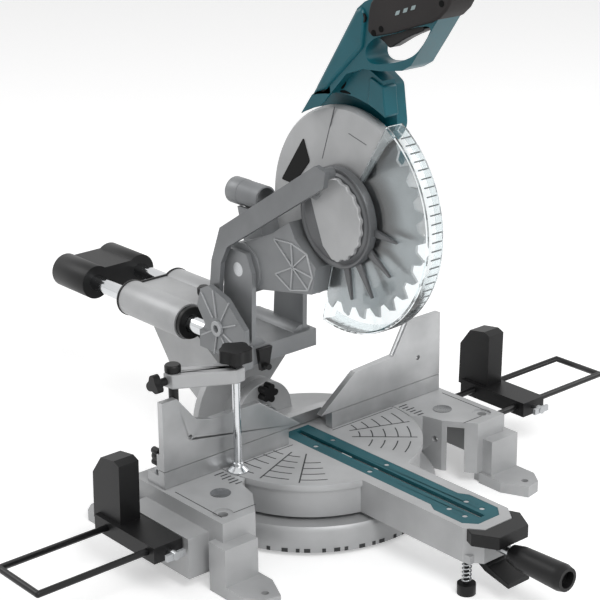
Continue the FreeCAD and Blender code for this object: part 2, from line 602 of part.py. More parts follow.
def rail_bushings():
    """Four plain bearing sleeves, two round each rail."""
    sleeves = []
    starts = ("housing_front+4", "housing_back-4-bush_length")
    for name, side in SIDES:
        for i, start in enumerate(starts):
            inner = f"rail_radius+running_gap"
            sleeves.append(turned(f"bush_{name}_{i}", "Y", [
                (inner, start), ("rail_radius+bush_wall", start),
                ("rail_radius+bush_wall", start + "+bush_length"), (inner, start + "+bush_length")],
                (f"{side}*rail_half", "rail_height")))
    finish(group("bush_set", sleeves), "rail_bushings")


def bevel_lock_knob():
    knob = lobed_knob("bevel_knob", "Y", "13", "12", lobes=5)
    place(knob, "0", "bevel_front-12-face_gap", "table_height+34")
    finish(knob, "bevel_lock_knob")


def slide_lock_knob():
    stem = "rail_height+18"
    finish(turned("slide_knob", "Z", [
        ("0", "rail_height+4"), ("screw_radius-0.1", "rail_height+4"), ("screw_radius-0.1", stem + "+4"),
        ("7", stem + "+5"), ("9", stem + "+9"), ("9", stem + "+16"), ("6", stem + "+19"),
        ("0", stem + "+19")], ("0", "housing_front+14")), "slide_lock_knob")


# ---------------------------------------------------------------- carriage
def slide_rails():
    rails = rail_holes("rail", "rail_radius", ("rail_front", "rail_back"))
    finish(group("rail_pair", rails), "slide_rails")


def rail_end_cap():
    cap = figure_eight("end_cap", "cap_radius", ("cap_front", "cap_front+cap_length"))
    holes = rail_holes("cap_hole", "rail_radius+0.02", ("cap_front-1", "rail_back+0.5"))
    finish(without("end_cap_cut", cap, holes), "rail_end_cap")


def carriage_bracket():
    """The casting on the rails' front ends: sockets, a ribbed cheek and the head's two ears."""
    block = box("carriage_block", ("-carriage_half", "carriage_half"),
                ("carriage_front", "carriage_back"), ("carriage_low", "carriage_top"))
    sockets = [rod(f"socket_{name}", "Y", "socket_radius", (f"{side}*rail_half", "rail_height"),
                   ("carriage_front+6", "carriage_back")) for name, side in SIDES]
    cheek = prism("cheek", "X", [
        ("carriage_front-8", "carriage_low+4"), ("carriage_front+6", "carriage_low"),
        ("carriage_front+40", "carriage_low"), ("carriage_back-12", "link_z-12"),
        ("link_y+12", "link_z+12"), ("link_y-4", "link_z+20"), ("carriage_front+28", "pivot_z-34"),
        ("carriage_front-8", "pivot_z-66")], ("-cheek_outer", "-cheek_inner"))
    cheek_root = box("cheek_root", ("-cheek_outer", "-carriage_half+1"),
                     ("carriage_front-8", "carriage_front+40"), ("carriage_low", "carriage_low+30"))
    ears = []
    for name, side in SIDES:
        span = sided(side, "barrel_half+face_gap", "barrel_half+face_gap+ear_thick")
        ears.append(prism(f"ear_{name}", "X", [
            ("pivot_y-24", "carriage_top-2"), ("pivot_y+34", "carriage_top-2"),
            ("pivot_y+barrel_radius-6", "pivot_z"), ("pivot_y+16", "pivot_z+24"),
            ("pivot_y-16", "pivot_z+24"), ("pivot_y-barrel_radius+6", "pivot_z")], span))
    link_boss = rod("link_boss", "X", "9", ("link_y", "link_z"),
                    ("-cheek_outer", "-link_outer-face_gap"))
    link_pin = rod("link_pin", "X", "5", ("link_y", "link_z"), ("-cheek_outer", "-link_inner+1"))
    bores = rail_holes("socket_bore", "rail_radius+0.02", ("rail_front-0.5", "carriage_back+1"))
    pin_bore = rod("ear_bore", "X", "pin_radius+0.02", ("pivot_y", "pivot_z"),
                   ("-cheek_inner+8", "cheek_inner"))
    solid = joined("carriage_solid", [block, cheek, cheek_root, link_boss, link_pin] + sockets + ears)
    finish(without("carriage_cut", solid, bores + [pin_bore]), "carriage_bracket")


def hinge_pin():
    reach = "barrel_half+face_gap+ear_thick"
    finish(rod("head_pin", "X", "pin_radius", ("pivot_y", "pivot_z"), (f"-({reach})", reach)),
           "hinge_pin")


def depth_stop():
    """The swing-out trenching stop on the carriage's front."""
    front = "carriage_front-face_gap"
    arm = prism("stop_arm", "Y", [
        ("-carriage_half+16", "carriage_low-8"), ("-carriage_half+28", "carriage_low-8"),
        ("-carriage_half+34", "carriage_top-2"), ("-carriage_half+12", "carriage_top-2")],
        (front + "-6", front))
    screw = rod("stop_adjuster", "Y", "4", ("-carriage_half+22", "carriage_low-2"),
                (front + "-14", front))
    finish(joined("depth_stop_solid", [arm, screw]), "depth_stop")


# ---------------------------------------------------------------- head
def head_arm():
    """The casting from the hinge barrel forward to the blade's hub and the gear case."""
    barrel = rod("barrel", "X", "barrel_radius", ("pivot_y", "pivot_z"),
                 ("-barrel_half", "barrel_half"))
    beam = prism("head_beam", "X", [
        ("pivot_y+8", "pivot_z+30"), ("pivot_y-22", "pivot_z-22"), ("-blade_y+27", "blade_z-99"),
        ("-blade_y+20", "blade_z-64"), ("-blade_y+58", "blade_z-36"), ("-blade_y+68", "blade_z-18"),
        ("-blade_y+100", "blade_z-40")], ("-barrel_half+2", "barrel_half-1"))
    spout_seat = prism("spout_seat", "X", [
        ("pivot_y+16", "pivot_z+26"), ("pivot_y+28", "blade_z-26"), ("pivot_y-14", "blade_z-26"),
        ("pivot_y-24", "pivot_z+30")], ("-22", "8"))
    room = rod("guard_room", "X", "guard_radius+face_gap", ("-blade_y", "blade_z"),
               ("-guard_half-face_gap", "guard_half+face_gap"))
    bore = rod("barrel_bore", "X", "pin_radius+running_gap", ("pivot_y", "pivot_z"),
               ("-barrel_half-1", "barrel_half+1"))
    spring_room = rod("spring_room", "X", "barrel_radius-7", ("pivot_y", "pivot_z"),
                      ("-barrel_half+8", "barrel_half-8"))
    case_room = rod("case_room", "X", "gear_case_radius+face_gap", ("-blade_y", "blade_z"),
                    ("gear_case_left-1", "gear_case_right+1"))
    spout_room = rod("spout_room", "Y", "port_radius+face_gap", ("-7", "blade_z-12"),
                     ("pivot_y-30", "pivot_y+60"))
    finish(without("head_arm_cut", joined("head_arm_solid", [barrel, beam, spout_seat]),
                   [room, bore, spring_room, case_room, spout_room]), "head_arm")


def return_spring():
    """The torsion spring inside the hinge barrel, as its close-wound sleeve."""
    finish(turned("spring_sleeve", "X", [
        ("pin_radius+3", "-barrel_half+8.3"), ("pin_radius+9", "-barrel_half+8.3"),
        ("pin_radius+9", "barrel_half-8.3"), ("pin_radius+3", "barrel_half-8.3")],
        ("pivot_y", "pivot_z")), "return_spring")


def upper_guard():
    """The fixed half-round guard shell over the blade's top and back."""
    shell = rod("guard_shell", "X", "guard_radius", ("-blade_y", "blade_z"),
                ("-guard_half", "guard_half"))
    inner = rod("guard_inner", "X", "guard_radius-guard_wall", ("-blade_y", "blade_z"),
                ("-guard_half+guard_wall", "guard_half-guard_wall"))
    front = prism("guard_front_cut", "X", [
        ("-blade_y+10", "blade_z-guard_radius*2"), ("-blade_y+10", "blade_z-50"),
        ("-blade_y-20", "blade_z-10"), ("-blade_y-36", "blade_z+50"),
        ("-blade_y-guard_radius*0.7", "blade_z+guard_radius*0.95"),
        ("-blade_y-guard_radius*2", "blade_z+guard_radius"),
        ("-blade_y-guard_radius*2", "blade_z-guard_radius*2")],
        ("-guard_half-1", "guard_half+1"))
    low = prism("guard_low_cut", "X", [
        ("-blade_y+9", "blade_z-guard_radius*2"), ("-blade_y+9", "blade_z-50"),
        ("-blade_y+40", "blade_z-50"), ("-blade_y+guard_radius*2", "blade_z-64"),
        ("-blade_y+guard_radius*2", "blade_z-guard_radius*2")],
        ("-guard_half-1", "guard_half+1"))
    hub_hole = rod("guard_hub_hole", "X", "hub_neck-4", ("-blade_y", "blade_z"),
                   ("-guard_half-1", "guard_half+1"))
    finish(without("upper_guard_cut", shell, [inner, front, low, hub_hole]), "upper_guard")


def hub_cover():
    """The plate over the blade's hub and the neck that the swinging guard turns on."""
    finish(turned("hub_cap", "X", [
        ("0", "-hub_cover_left"), ("hub_cover_radius-2", "-hub_cover_left"),
        ("hub_cover_radius", "-hub_cover_left+2"), ("hub_cover_radius", "-visor_hub_left-face_gap"),
        ("hub_neck", "-visor_hub_left-face_gap"), ("hub_neck", "-guard_half-face_gap"),
        ("hub_neck-4", "-guard_half-face_gap"), ("hub_neck-4", "-hub_cover_left+4"),
        ("0", "-hub_cover_left+4")], ("-blade_y", "blade_z")), "hub_cover")


def lower_guard():
    """The clear visor that swings back as the head comes down."""
    start = 122
    sweep = 162
    wall = rod("visor_wall", "X", "visor_radius", ("-blade_y", "blade_z"),
               ("-visor_left", "-visor_left+visor_wall"))
    rim = turned("visor_rim", "X", [
        ("visor_radius-visor_wall", "-visor_left"), ("visor_radius", "-visor_left"),
        ("visor_radius", "visor_right"), ("visor_radius-10", "visor_right"),
        ("visor_radius-10", "visor_right-visor_wall/2"),
        ("visor_radius-visor_wall", "visor_right-visor_wall/2")], ("-blade_y", "blade_z"))
    hub = turned("visor_hub_ring", "X", [
        ("hub_neck+face_gap", "-visor_hub_left"), ("visor_hub", "-visor_hub_left"),
        ("visor_hub", "-visor_left+visor_wall"), ("hub_neck+face_gap", "-visor_left+visor_wall")],
        ("-blade_y", "blade_z"))
    hole = rod("visor_hole", "X", "hub_neck+face_gap", ("-blade_y", "blade_z"),
               ("-visor_left-1", "-visor_left+visor_wall+2"))
    keep = doc.addObject("Part::Cylinder", "visor_sector")
    keep.Angle = sweep
    turn = FreeCAD.Rotation(FreeCAD.Vector(1, 0, 0), start)
    keep.Placement = FreeCAD.Placement(FreeCAD.Vector(), turn.multiply(AXES["X"]).multiply(
        FreeCAD.Rotation(FreeCAD.Vector(0, 0, 1), 90)))
    bind(keep, Radius="visor_radius*1.2", Height="visor_left*2+visor_right")
    place(keep, "-visor_left-5", "-blade_y", "blade_z")
    sector = doc.addObject("Part::Common", "visor_part")
    sector.Base = without("visor_shell", joined("visor_solid", [wall, rim]), [hole])
    sector.Tool = keep
    finish(joined("visor_whole", [sector, hub]), "lower_guard")


def guard_link():
    """The pressed arm from the carriage that swings the visor."""
    arm = prism("link_arm", "X", [
        ("link_y-9", "link_z-4"), ("link_y+9", "link_z-2"), ("link_y+2", "link_z+50"),
        ("link_y-16", "link_z+96"), ("-blade_y-4", "blade_z+70"), ("-blade_y-22", "blade_z+66"),
        ("-blade_y-18", "blade_z+46"), ("link_y-30", "link_z+74"), ("link_y-17", "link_z+50")],
        ("-link_outer", "-link_inner"))
    eye = rod("link_eye", "X", "10", ("link_y", "link_z"), ("-link_outer", "-link_inner"))
    roller = rod("link_roller", "X", "7", ("-blade_y-12", "blade_z+60"),
                 ("-link_inner-1", "-barrel_half"))
    hole = rod("link_hole", "X", "5+face_gap", ("link_y", "link_z"), ("-link_outer-1", "-link_inner+1"))
    finish(without("link_cut", joined("link_solid", [arm, eye, roller]), [hole]), "guard_link")


def gear_case():
    """The round drive housing on the blade's right side."""
    case = rod("case_round", "X", "gear_case_radius", ("-blade_y", "blade_z"),
               ("gear_case_left", "gear_case_right"))
    gear_room = rod("gear_room", "X", "gear_radius+3", ("-blade_y", "blade_z"),
                    ("gear_case_left+8", "gear_case_right-8"))
    arbor_room = rod("arbor_room", "X", "blade_bore+2", ("-blade_y", "blade_z"),
                     ("gear_case_left-1", "gear_case_right-7"))
    lock_hole = rod("spindle_lock_hole", "X", "4+running_gap", ("-blade_y+40", "blade_z-24"),
                    ("gear_case_right-14", "gear_case_right+1"))
    finish(without("gear_case_cut", case,
                   [gear_room, arbor_room, lock_hole]), "gear_case")


def saw_blade():
    """The toothed disc: each tooth is a gullet cut from the rim."""
    count = int(size("teeth"))
    rim = size("blade_radius")
    corners = []
    for i in range(count):
        turn = 2 * math.pi * i / count
        step = 2 * math.pi / count
        for radius, share in ((rim, 0.0), (rim - 3, 0.26), (rim - 13, 0.46), (rim - 12, 0.80)):
            angle = turn + step * share
            corners.append(FreeCAD.Vector(0, radius * math.cos(angle), radius * math.sin(angle)))
    face = Part.Face(Part.makePolygon(corners + corners[:1]))
    thick = size("blade_thick")
    disc = face.extrude(FreeCAD.Vector(thick, 0, 0))
    bore = Part.makeCylinder(size("blade_bore"), thick + 2, FreeCAD.Vector(-1, 0, 0),
                             FreeCAD.Vector(1, 0, 0))
    item = doc.addObject("Part::Feature", "blade_disc")
    item.Shape = disc.cut(bore)
    place(item, "-blade_thick/2", "-blade_y", "blade_z")
    finish(item, "saw_blade")


def blade_drive():
    """The arbor, its two flanges and the gear that turns them."""
    face = "blade_thick/2"
    finish(turned("arbor_shaft", "X", [
        ("0", "-20"), ("8", "-20"), ("8", f"-{face}-flange_thick"), ("blade_bore-0.02", f"-{face}-flange_thick"),
        ("blade_bore-0.02", f"{face}+0"), ("10", f"{face}+0"), ("10", "gear_case_right-9"),
        ("0", "gear_case_right-9")], ("-blade_y", "blade_z")), "arbor")
    washers = []
    for name, low, high, bore in (("outer", f"-{face}-flange_thick", f"-{face}", "blade_bore"),
                                  ("inner", face, f"{face}+flange_thick", "10")):
        washers.append(turned(f"flange_{name}", "X", [
            (bore, low), ("flange_radius", low), ("flange_radius", high), (bore, high)],
            ("-blade_y", "blade_z")))
    finish(group("flange_pair", washers), "blade_flanges")
    low = "gear_case_left+12"
    finish(turned("gear_disc", "X", [
        ("10", low), ("gear_radius", low), ("gear_radius", low + "+12"), ("10", low + "+12")],
        ("-blade_y", "blade_z")), "drive_gear")


def motor():
    """The motor: teal drum, end cap, stator ring and turning armature."""
    centre = ("-motor_y", "blade_z+motor_rise")
    finish(turned("motor_drum", "X", [
        ("motor_radius-4", "motor_left+10"), ("motor_radius", "motor_left+10"),
        ("motor_radius", "motor_right-motor_cap"), ("motor_radius-4", "motor_right-motor_cap")],
        centre), "motor_housing")
    inner = "motor_right-motor_cap"
    finish(turned("motor_cap_shell", "X", [
        ("shaft_radius+3", "motor_right"), ("motor_radius-12", "motor_right"),
        ("motor_radius-2", "motor_right-10"), ("motor_radius-2", inner), ("motor_radius-6", inner),
        ("motor_radius-6", "motor_right-12"), ("motor_radius-14", "motor_right-4"),
        ("shaft_radius+3", "motor_right-4")], centre), "motor_end_cap")
    finish(turned("stator_ring", "X", [
        ("rotor_radius+1", "motor_left+20"), ("motor_radius-4", "motor_left+20"),
        ("motor_radius-4", "motor_right-motor_cap-8"), ("rotor_radius+1", "motor_right-motor_cap-8")],
        centre), "motor_stator")
    finish(turned("armature_body", "X", [
        ("0", "motor_left+12"), ("shaft_radius", "motor_left+12"), ("shaft_radius", "motor_left+22"),
        ("rotor_radius", "motor_left+22"), ("rotor_radius", "motor_right-motor_cap-10"),
        ("shaft_radius", "motor_right-motor_cap-10"), ("shaft_radius", "motor_right-5"),
        ("0", "motor_right-5")], centre), "motor_armature")


def around_hub(points):
    """Corners given as (y, z) distances from the blade's axis."""
    return [(f"-blade_y+({y})", f"blade_z+({z})") for y, z in points]


def handle():
    """The D-shaped handle and drive housing, the rubber grip, the trigger and the lock-off."""
    ring = prism("handle_ring", "X", around_hub([
        (67, 105), (-31, 248), (-42, 256), (-64, 265), (-120, 285), (-180, 303), (-203, 298),
        (-196, 272), (-149, 207), (-110, 188), (-80, 170), (-50, 112)]),
        ("-handle_half", "handle_half"))
    finger = prism("finger_room", "X", around_hub([
        (-38, 182), (-90, 194), (-131, 212), (-150, 231), (-165, 251), (-158, 254), (-119, 237),
        (-60, 219), (-52, 208)]), ("-handle_half-1", "handle_half+1"))
    root = prism("handle_root", "X", around_hub([
        (66, 108), (32, 158), (-56, 164), (-60, 118), (-44, 34), (44, 34)]),
        ("gear_case_left", "motor_left+20"))
    drum_room = rod("drum_room", "X", "motor_radius+face_gap", ("-motor_y", "blade_z+motor_rise"),
                    ("motor_left+10-face_gap", "motor_right"))
    case_room = rod("drive_room", "X", "gear_case_radius+face_gap", ("-blade_y", "blade_z"),
                    ("gear_case_left-1", "gear_case_right"))
    visor_room = rod("visor_room", "X", "visor_radius+1", ("-blade_y", "blade_z"),
                     ("-handle_half-1", "gear_case_left"))
    grip = around_hub([(-60, 219), (-119, 237), (-158, 254), (-171, 259), (-184, 305),
                       (-120, 287), (-63, 266)])
    grip_room = prism("grip_room", "X", grip, ("-handle_half-1", "handle_half+1"))
    button = ("-blade_y-42", "blade_z+240")
    eye = ("-blade_y-48", "blade_z+222")
    button_bore = rod("button_bore", "X", "6+running_gap", button, ("-handle_half-2", "-6"))
    eye_slot = rod("eye_slot", "X", "8", eye, ("-9", "9"))
    lever_slot = box("lever_slot", ("-9", "9"), ("-blade_y-61", "-blade_y-40"),
                     ("blade_z+204", "blade_z+222"))
    shell = without("handle_cut", joined("handle_solid", [ring, root]),
                    [finger, drum_room, case_room, visor_room, grip_room, button_bore, eye_slot,
                     lever_slot])
    pin = rod("trigger_pin", "X", "2.5", eye, ("-9.5", "9.5"))
    finish(joined("handle_whole", [shell, pin]), "handle_shell")
    finish(prism("grip_sleeve", "X", grip, ("-handle_half-1", "handle_half+1")), "handle_grip")
    finish(rod("button_rod", "X", "6", button, ("-handle_half-3", "-11")), "lock_off_button")
    lever = prism("trigger_lever", "X", around_hub([
        (-44, 226), (-46, 214), (-60, 207), (-92, 210), (-112, 219), (-117, 227), (-60, 216)]),
        ("-8", "8"))
    round_end = rod("trigger_eye", "X", "7", eye, ("-8", "8"))
    pin_hole = rod("trigger_pin_hole", "X", "2.5+running_gap", eye, ("-9", "9"))
    finish(without("trigger_cut", joined("trigger_solid", [lever, round_end]), [pin_hole]), "trigger")


def spindle_lock():
    """The sprung button on the gear case that holds the arbor while the blade is changed."""
    finish(turned("lock_pin", "X", [
        ("0", "gear_case_right-10"), ("4", "gear_case_right-10"), ("4", "gear_case_right+4"),
        ("6.5", "gear_case_right+4"), ("6.5", "gear_case_right+9"), ("0", "gear_case_right+9")],
        ("-blade_y+40", "blade_z-24")), "spindle_lock")


def dust_port():
    """The sawdust spout at the back of the head, clear of the swinging guard."""
    start = "-blade_y+visor_radius+2"
    finish(turned("dust_spout", "Y", [
        ("port_radius-3", start), ("port_radius-0.5", start), ("port_radius-0.5", start + "+39"),
        ("port_radius", start + "+39"), ("port_radius", start + "+60"),
        ("port_radius-3", start + "+60")], ("-7", "blade_z-12")), "dust_port")


# ---------------------------------------------------------------- wires, stops and clamp
def extension_wire(side_name, side, far):
    """A U-shaped wire work support that slides in the wing's bores."""
    legs = [rod(f"wire_leg_{side_name}_{i}", "X", "wire_radius", (y, "wire_height"),
                sided(side, "wire_inner", far))
            for i, y in enumerate(("-wire_front", "wire_rear"))]
    tie = rod(f"wire_tie_{side_name}", "Y", "wire_radius", (f"{side}*({far})", "wire_height"),
              ("-wire_front", "wire_rear"))
    ends = []
    for i, y in enumerate(("-wire_front", "wire_rear")):
        ball = doc.addObject("Part::Sphere", f"wire_corner_{side_name}_{i}")
        bind(ball, Radius="wire_radius")
        ends.append(place(ball, f"{side}*({far})", y, "wire_height"))
    finish(joined(f"wire_{side_name}", legs + [tie] + ends), f"extension_wire_{side_name}")


def end_stop(side_name, side, near):
    """The L-shaped end stop on the wires, with its clamp screw at the front."""
    span = sided(side, near, f"{near}+stop_width")
    bar = box(f"stop_bar_{side_name}", span, ("-wire_front-14", "wire_rear+24"),
              ("wire_height-11", "wire_height+9"))
    upright = prism(f"stop_upright_{side_name}", "X", [
        ("wire_rear-20", "wire_height"), ("wire_rear+34", "wire_height"),
        ("wire_rear+32", "stop_top-28"), ("wire_rear+14", "stop_top-4"), ("wire_rear-12", "stop_top"),
        ("wire_rear-22", "stop_top-4")], sided(side, f"{near}+6", f"{near}+stop_width-6"))
    holes = [rod(f"stop_hole_{side_name}_{i}", "X", "wire_radius+face_gap", (y, "wire_height"),
                 sided(side, f"{near}-1", f"{near}+stop_width+1"))
             for i, y in enumerate(("-wire_front", "wire_rear"))]
    screw_hole = rod(f"stop_screw_hole_{side_name}", "Y", "3.2",
                     (f"{side}*({near}+stop_width/2)", "wire_height-1"),
                     ("-wire_front-15", "-wire_front-wire_radius-2"))
    finish(without(f"stop_cut_{side_name}", joined(f"stop_solid_{side_name}", [bar, upright]),
                   holes + [screw_hole]), f"end_stop_{side_name}")
    y_face = "-wire_front-14"
    centre = (f"{side}*({near}+stop_width/2)", "wire_height-1")
    stem = turned(f"stop_stem_{side_name}", "Y", [
        ("0", y_face + "-16"), ("5", y_face + "-16"), ("5", y_face + "-8"), ("3", y_face + "-6"),
        ("3", y_face + "+7"), ("0", y_face + "+7")], centre)
    wings = box(f"stop_wing_{side_name}",
                (f"{centre[0]}-13", f"{centre[0]}+13"), (y_face + "-15", y_face + "-11"),
                ("wire_height-5", "wire_height+3"))
    finish(joined(f"stop_screw_solid_{side_name}", [stem, wings]), f"stop_screw_{side_name}")


def work_clamp():
    """The hold-down: a post behind the fence, a cast arm over it and a screw spindle."""
    post = rod("clamp_post_rod", "Z", "post_radius", ("-clamp_x", "clamp_y"),
               ("wing_low+10", "clamp_arm_high+6"))
    tip_x = "-clamp_x+clamp_reach_x"
    tip_y = "clamp_y-clamp_reach_y"
    finish(post, "clamp_post")
    arm = prism("clamp_arm_bar", "Z", [
        ("-clamp_x-8", "clamp_y-9"), (f"{tip_x}-6", f"{tip_y}-10"), (f"{tip_x}+8", f"{tip_y}-8"),
        (f"{tip_x}+8", f"{tip_y}+8"), ("-clamp_x+8", "clamp_y+11"), ("-clamp_x-10", "clamp_y+6")],
        ("clamp_arm_low", "clamp_arm_high"))
    bores = [rod("arm_post_bore", "Z", "post_radius+0.02", ("-clamp_x", "clamp_y"),
                 ("clamp_arm_low-1", "clamp_arm_high+1")),
             rod("arm_spindle_bore", "Z", "spindle_radius+running_gap", (tip_x, tip_y),
                 ("clamp_arm_low-1", "clamp_arm_high+1"))]
    finish(without("clamp_arm_cut", arm, bores), "clamp_arm")
    pad = "table_height+face_gap"
    finish(turned("spindle", "Z", [
        ("0", pad), ("clamp_pad_radius", pad), ("clamp_pad_radius-2", pad + "+4"),
        ("spindle_radius+3", pad + "+10"), ("spindle_radius", pad + "+12"),
        ("spindle_radius", "clamp_arm_high+3"), ("12", "clamp_arm_high+3"),
        ("13", "clamp_arm_high+8"), ("clamp_knob_radius", "clamp_arm_high+9"),
        ("clamp_knob_radius", "clamp_knob_top-5"), ("clamp_knob_radius-4", "clamp_knob_top"),
        ("0", "clamp_knob_top+1")], (tip_x, tip_y)), "clamp_screw")


# ---------------------------------------------------------------- assembly
base_casting()
for side_name, side in SIDES:
    table_wing(side_name, side)
pivot_bolt()
lower_fence()
fence_bolts()
for side_name, side in SIDES:
    fence_plate(side_name, side)
    fence_knob(side_name, side)
turntable()
kerf_insert()
insert_screws()
pointer_bezel()
mitre_lock()
detent_lever()
leveling_foot()
bevel_bracket()
bevel_pivot()
rail_support()
rail_seals()
rail_bushings()
bevel_lock_knob()
slide_lock_knob()
slide_rails()
rail_end_cap()
carriage_bracket()
hinge_pin()
depth_stop()
head_arm()
return_spring()
upper_guard()
hub_cover()
lower_guard()
guard_link()
gear_case()
saw_blade()
blade_drive()
motor()
handle()
spindle_lock()
dust_port()
extension_wire("left", -1, "wire_left_end")
extension_wire("right", 1, "wire_right_end")
end_stop("left", -1, "stop_left_x")
end_stop("right", 1, "stop_right_x")
work_clamp()
doc.recompute()

broken = [item.Label for item in doc.Objects if "Invalid" in item.State or "Error" in item.State]
for item in finished:
    if item.Shape.isNull() or not item.Shape.isValid():
        broken.append(item.Label)
if broken:
    raise RuntimeError("these objects failed: " + ", ".join(broken))

os.makedirs("parts", exist_ok=True)
for item in finished:
    item.Shape.exportStep(os.path.join("parts", item.Label + ".step"))
print(len(finished), "sub-parts written")
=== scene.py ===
import bpy
import bmesh
import math
from mathutils import Matrix, Vector


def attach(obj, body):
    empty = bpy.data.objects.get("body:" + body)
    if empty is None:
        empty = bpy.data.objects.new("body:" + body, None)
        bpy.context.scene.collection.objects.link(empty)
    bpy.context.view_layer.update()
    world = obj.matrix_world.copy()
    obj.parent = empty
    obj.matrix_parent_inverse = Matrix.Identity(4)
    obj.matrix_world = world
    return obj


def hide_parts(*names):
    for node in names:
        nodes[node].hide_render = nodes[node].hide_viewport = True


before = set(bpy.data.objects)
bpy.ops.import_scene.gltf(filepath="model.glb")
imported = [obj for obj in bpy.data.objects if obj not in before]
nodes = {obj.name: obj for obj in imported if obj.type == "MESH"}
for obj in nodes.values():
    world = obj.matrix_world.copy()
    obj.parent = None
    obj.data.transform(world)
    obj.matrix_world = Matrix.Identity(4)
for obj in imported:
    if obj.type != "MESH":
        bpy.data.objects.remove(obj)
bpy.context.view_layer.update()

# ---------------------------------------------------------------- base casting
# The base is die-cast aluminium: a round skirt with its hub, and two table wings with the feet.
# Its silver powder coat is satin with a fine orange peel, so it shines softly and evenly.
# The peel and every other grain below is drawn coarser than it is, so that it shows.

MM = 0.001


def linear(code):
    """An sRGB hex colour as linear RGBA."""
    parts = [int(code[i:i + 2], 16) / 255 for i in (1, 3, 5)]
    return tuple(v / 12.92 if v <= 0.04045 else ((v + 0.055) / 1.055) ** 2.4 for v in parts) + (1.0,)


def add(tree, kind, links=(), **settings):
    """A shader node with its settings, inputs by name and links as (input, node, output)."""
    node = tree.nodes.new("ShaderNode" + kind)
    for name, value in settings.items():
        if hasattr(node, name):
            setattr(node, name, value)
        else:
            node.inputs[name.replace("_", " ")].default_value = value
    for socket, source, output in links:
        tree.links.new(source.outputs[output], node.inputs[socket])
    return node


def finish_of(name, dark, light, rough=0.4, metallic=0.0, grain=1.5, relief=0.02, stretch=(1, 1, 1),
              spread=0.08, mottle=60.0, **shader_values):
    """A surface whose colour drifts between two tones and whose relief has one grain size in mm."""
    made = bpy.data.materials.new(name)
    made.use_nodes = True
    tree = made.node_tree
    shader = tree.nodes["Principled BSDF"]
    shader.inputs["Metallic"].default_value = metallic
    for key, value in shader_values.items():
        shader.inputs[key.replace("_", " ")].default_value = value
    place = add(tree, "TexCoord")
    scaled = add(tree, "Mapping", [("Vector", place, "Object")], Scale=stretch)
    drift = add(tree, "TexNoise", [("Vector", place, "Object")], Scale=1000 / mottle, Detail=3.0)
    tone = add(tree, "ValToRGB", [("Fac", drift, "Fac")])
    tone.color_ramp.elements[0].position = 0.35
    tone.color_ramp.elements[1].position = 0.65
    tone.color_ramp.elements[0].color = linear(dark)
    tone.color_ramp.elements[1].color = linear(light)
    tree.links.new(tone.outputs["Color"], shader.inputs["Base Color"])
    fine = add(tree, "TexNoise", [("Vector", scaled, "Vector")], Scale=1000 / grain, Detail=2.0)
    gloss = add(tree, "MapRange", [("Value", fine, "Fac")], To_Min=rough - spread, To_Max=rough + spread)
    tree.links.new(gloss.outputs["Result"], shader.inputs["Roughness"])
    bump = add(tree, "Bump", [("Height", fine, "Fac")], Strength=0.35, Distance=relief * MM)
    tree.links.new(bump.outputs["Normal"], shader.inputs["Normal"])
    return made


silver_coat = finish_of("silver powder coat on die casting", "#acadae", "#b8b9ba", rough=0.42,
                        metallic=0.25, grain=1.2, relief=0.10)


def dress(node, finish, edge=0.8, segments=2):
    """A CAD piece that is shown as it is, with its finish and small cast or moulded edge radii."""
    piece = nodes[node]
    piece.data.materials.clear()
    piece.data.materials.append(finish)
    merge = piece.modifiers.new("merge", "WELD")
    merge.merge_threshold = 0.00001
    if edge:
        soft = piece.modifiers.new("edges", "BEVEL")
        soft.width = edge * MM
        soft.segments = segments
        soft.limit_method = "ANGLE"
        soft.angle_limit = math.radians(40)
        soft.harden_normals = False
    return piece


def shown(name, shape, finish, body, edge=0.8, segments=2):
    """A bmesh made in millimetres becomes a finished piece that rides on a body."""
    bmesh.ops.remove_doubles(shape, verts=shape.verts, dist=0.001)
    bmesh.ops.recalc_face_normals(shape, faces=shape.faces)
    bmesh.ops.scale(shape, vec=(MM, MM, MM), verts=shape.verts)
    mesh = bpy.data.meshes.new(name)
    shape.to_mesh(mesh)
    shape.free()
    mesh.materials.append(finish)
    mesh.shade_smooth()
    piece = bpy.data.objects.new(name, mesh)
    bpy.context.scene.collection.objects.link(piece)
    mesh.set_sharp_from_angle(angle=math.radians(35))
    if edge:
        soft = piece.modifiers.new("edges", "BEVEL")
        soft.width = edge * MM
        soft.segments = segments
        soft.limit_method = "ANGLE"
        soft.angle_limit = math.radians(30)
    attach(piece, body)
    return piece


def lift(axis, flat, along):
    """A point of an outline drawn across an axis: the two other coordinates in X, Y, Z order."""
    point = list(flat)
    point.insert("XYZ".index(axis), along)
    return point


def rounded(points, radius, steps=4):
    """The outline with every corner turned into an arc."""
    if not radius:
        return [tuple(p) for p in points]
    made = []
    count = len(points)
    for i in range(count):
        here = Vector(points[i])
        back = Vector(points[i - 1]) - here
        ahead = Vector(points[(i + 1) % count]) - here
        reach = min(radius, back.length * 0.45, ahead.length * 0.45)
        start = here + back.normalized() * reach
        end = here + ahead.normalized() * reach
        for k in range(steps + 1):
            t = k / steps
            made.append(tuple(start * (1 - t) ** 2 + here * 2 * t * (1 - t) + end * t * t))
    return made


def slab(shape, axis, outline, low, high, holes=()):
    """Adds a flat plate with this outline and these holes, from low to high along the axis."""
    edges = []
    for ring in [outline] + list(holes):
        verts = [shape.verts.new(lift(axis, p, low)) for p in ring]
        edges += [shape.edges.new((verts[i], verts[(i + 1) % len(verts)])) for i in range(len(verts))]
    made = bmesh.ops.triangle_fill(shape, use_beauty=True, use_dissolve=False, edges=edges)
    faces = [f for f in made["geom"] if isinstance(f, bmesh.types.BMFace)]
    grown = bmesh.ops.extrude_face_region(shape, geom=faces, use_keep_orig=True)
    top = [v for v in grown["geom"] if isinstance(v, bmesh.types.BMVert)]
    bmesh.ops.translate(shape, verts=top, vec=lift(axis, (0, 0), high - low))
    return shape


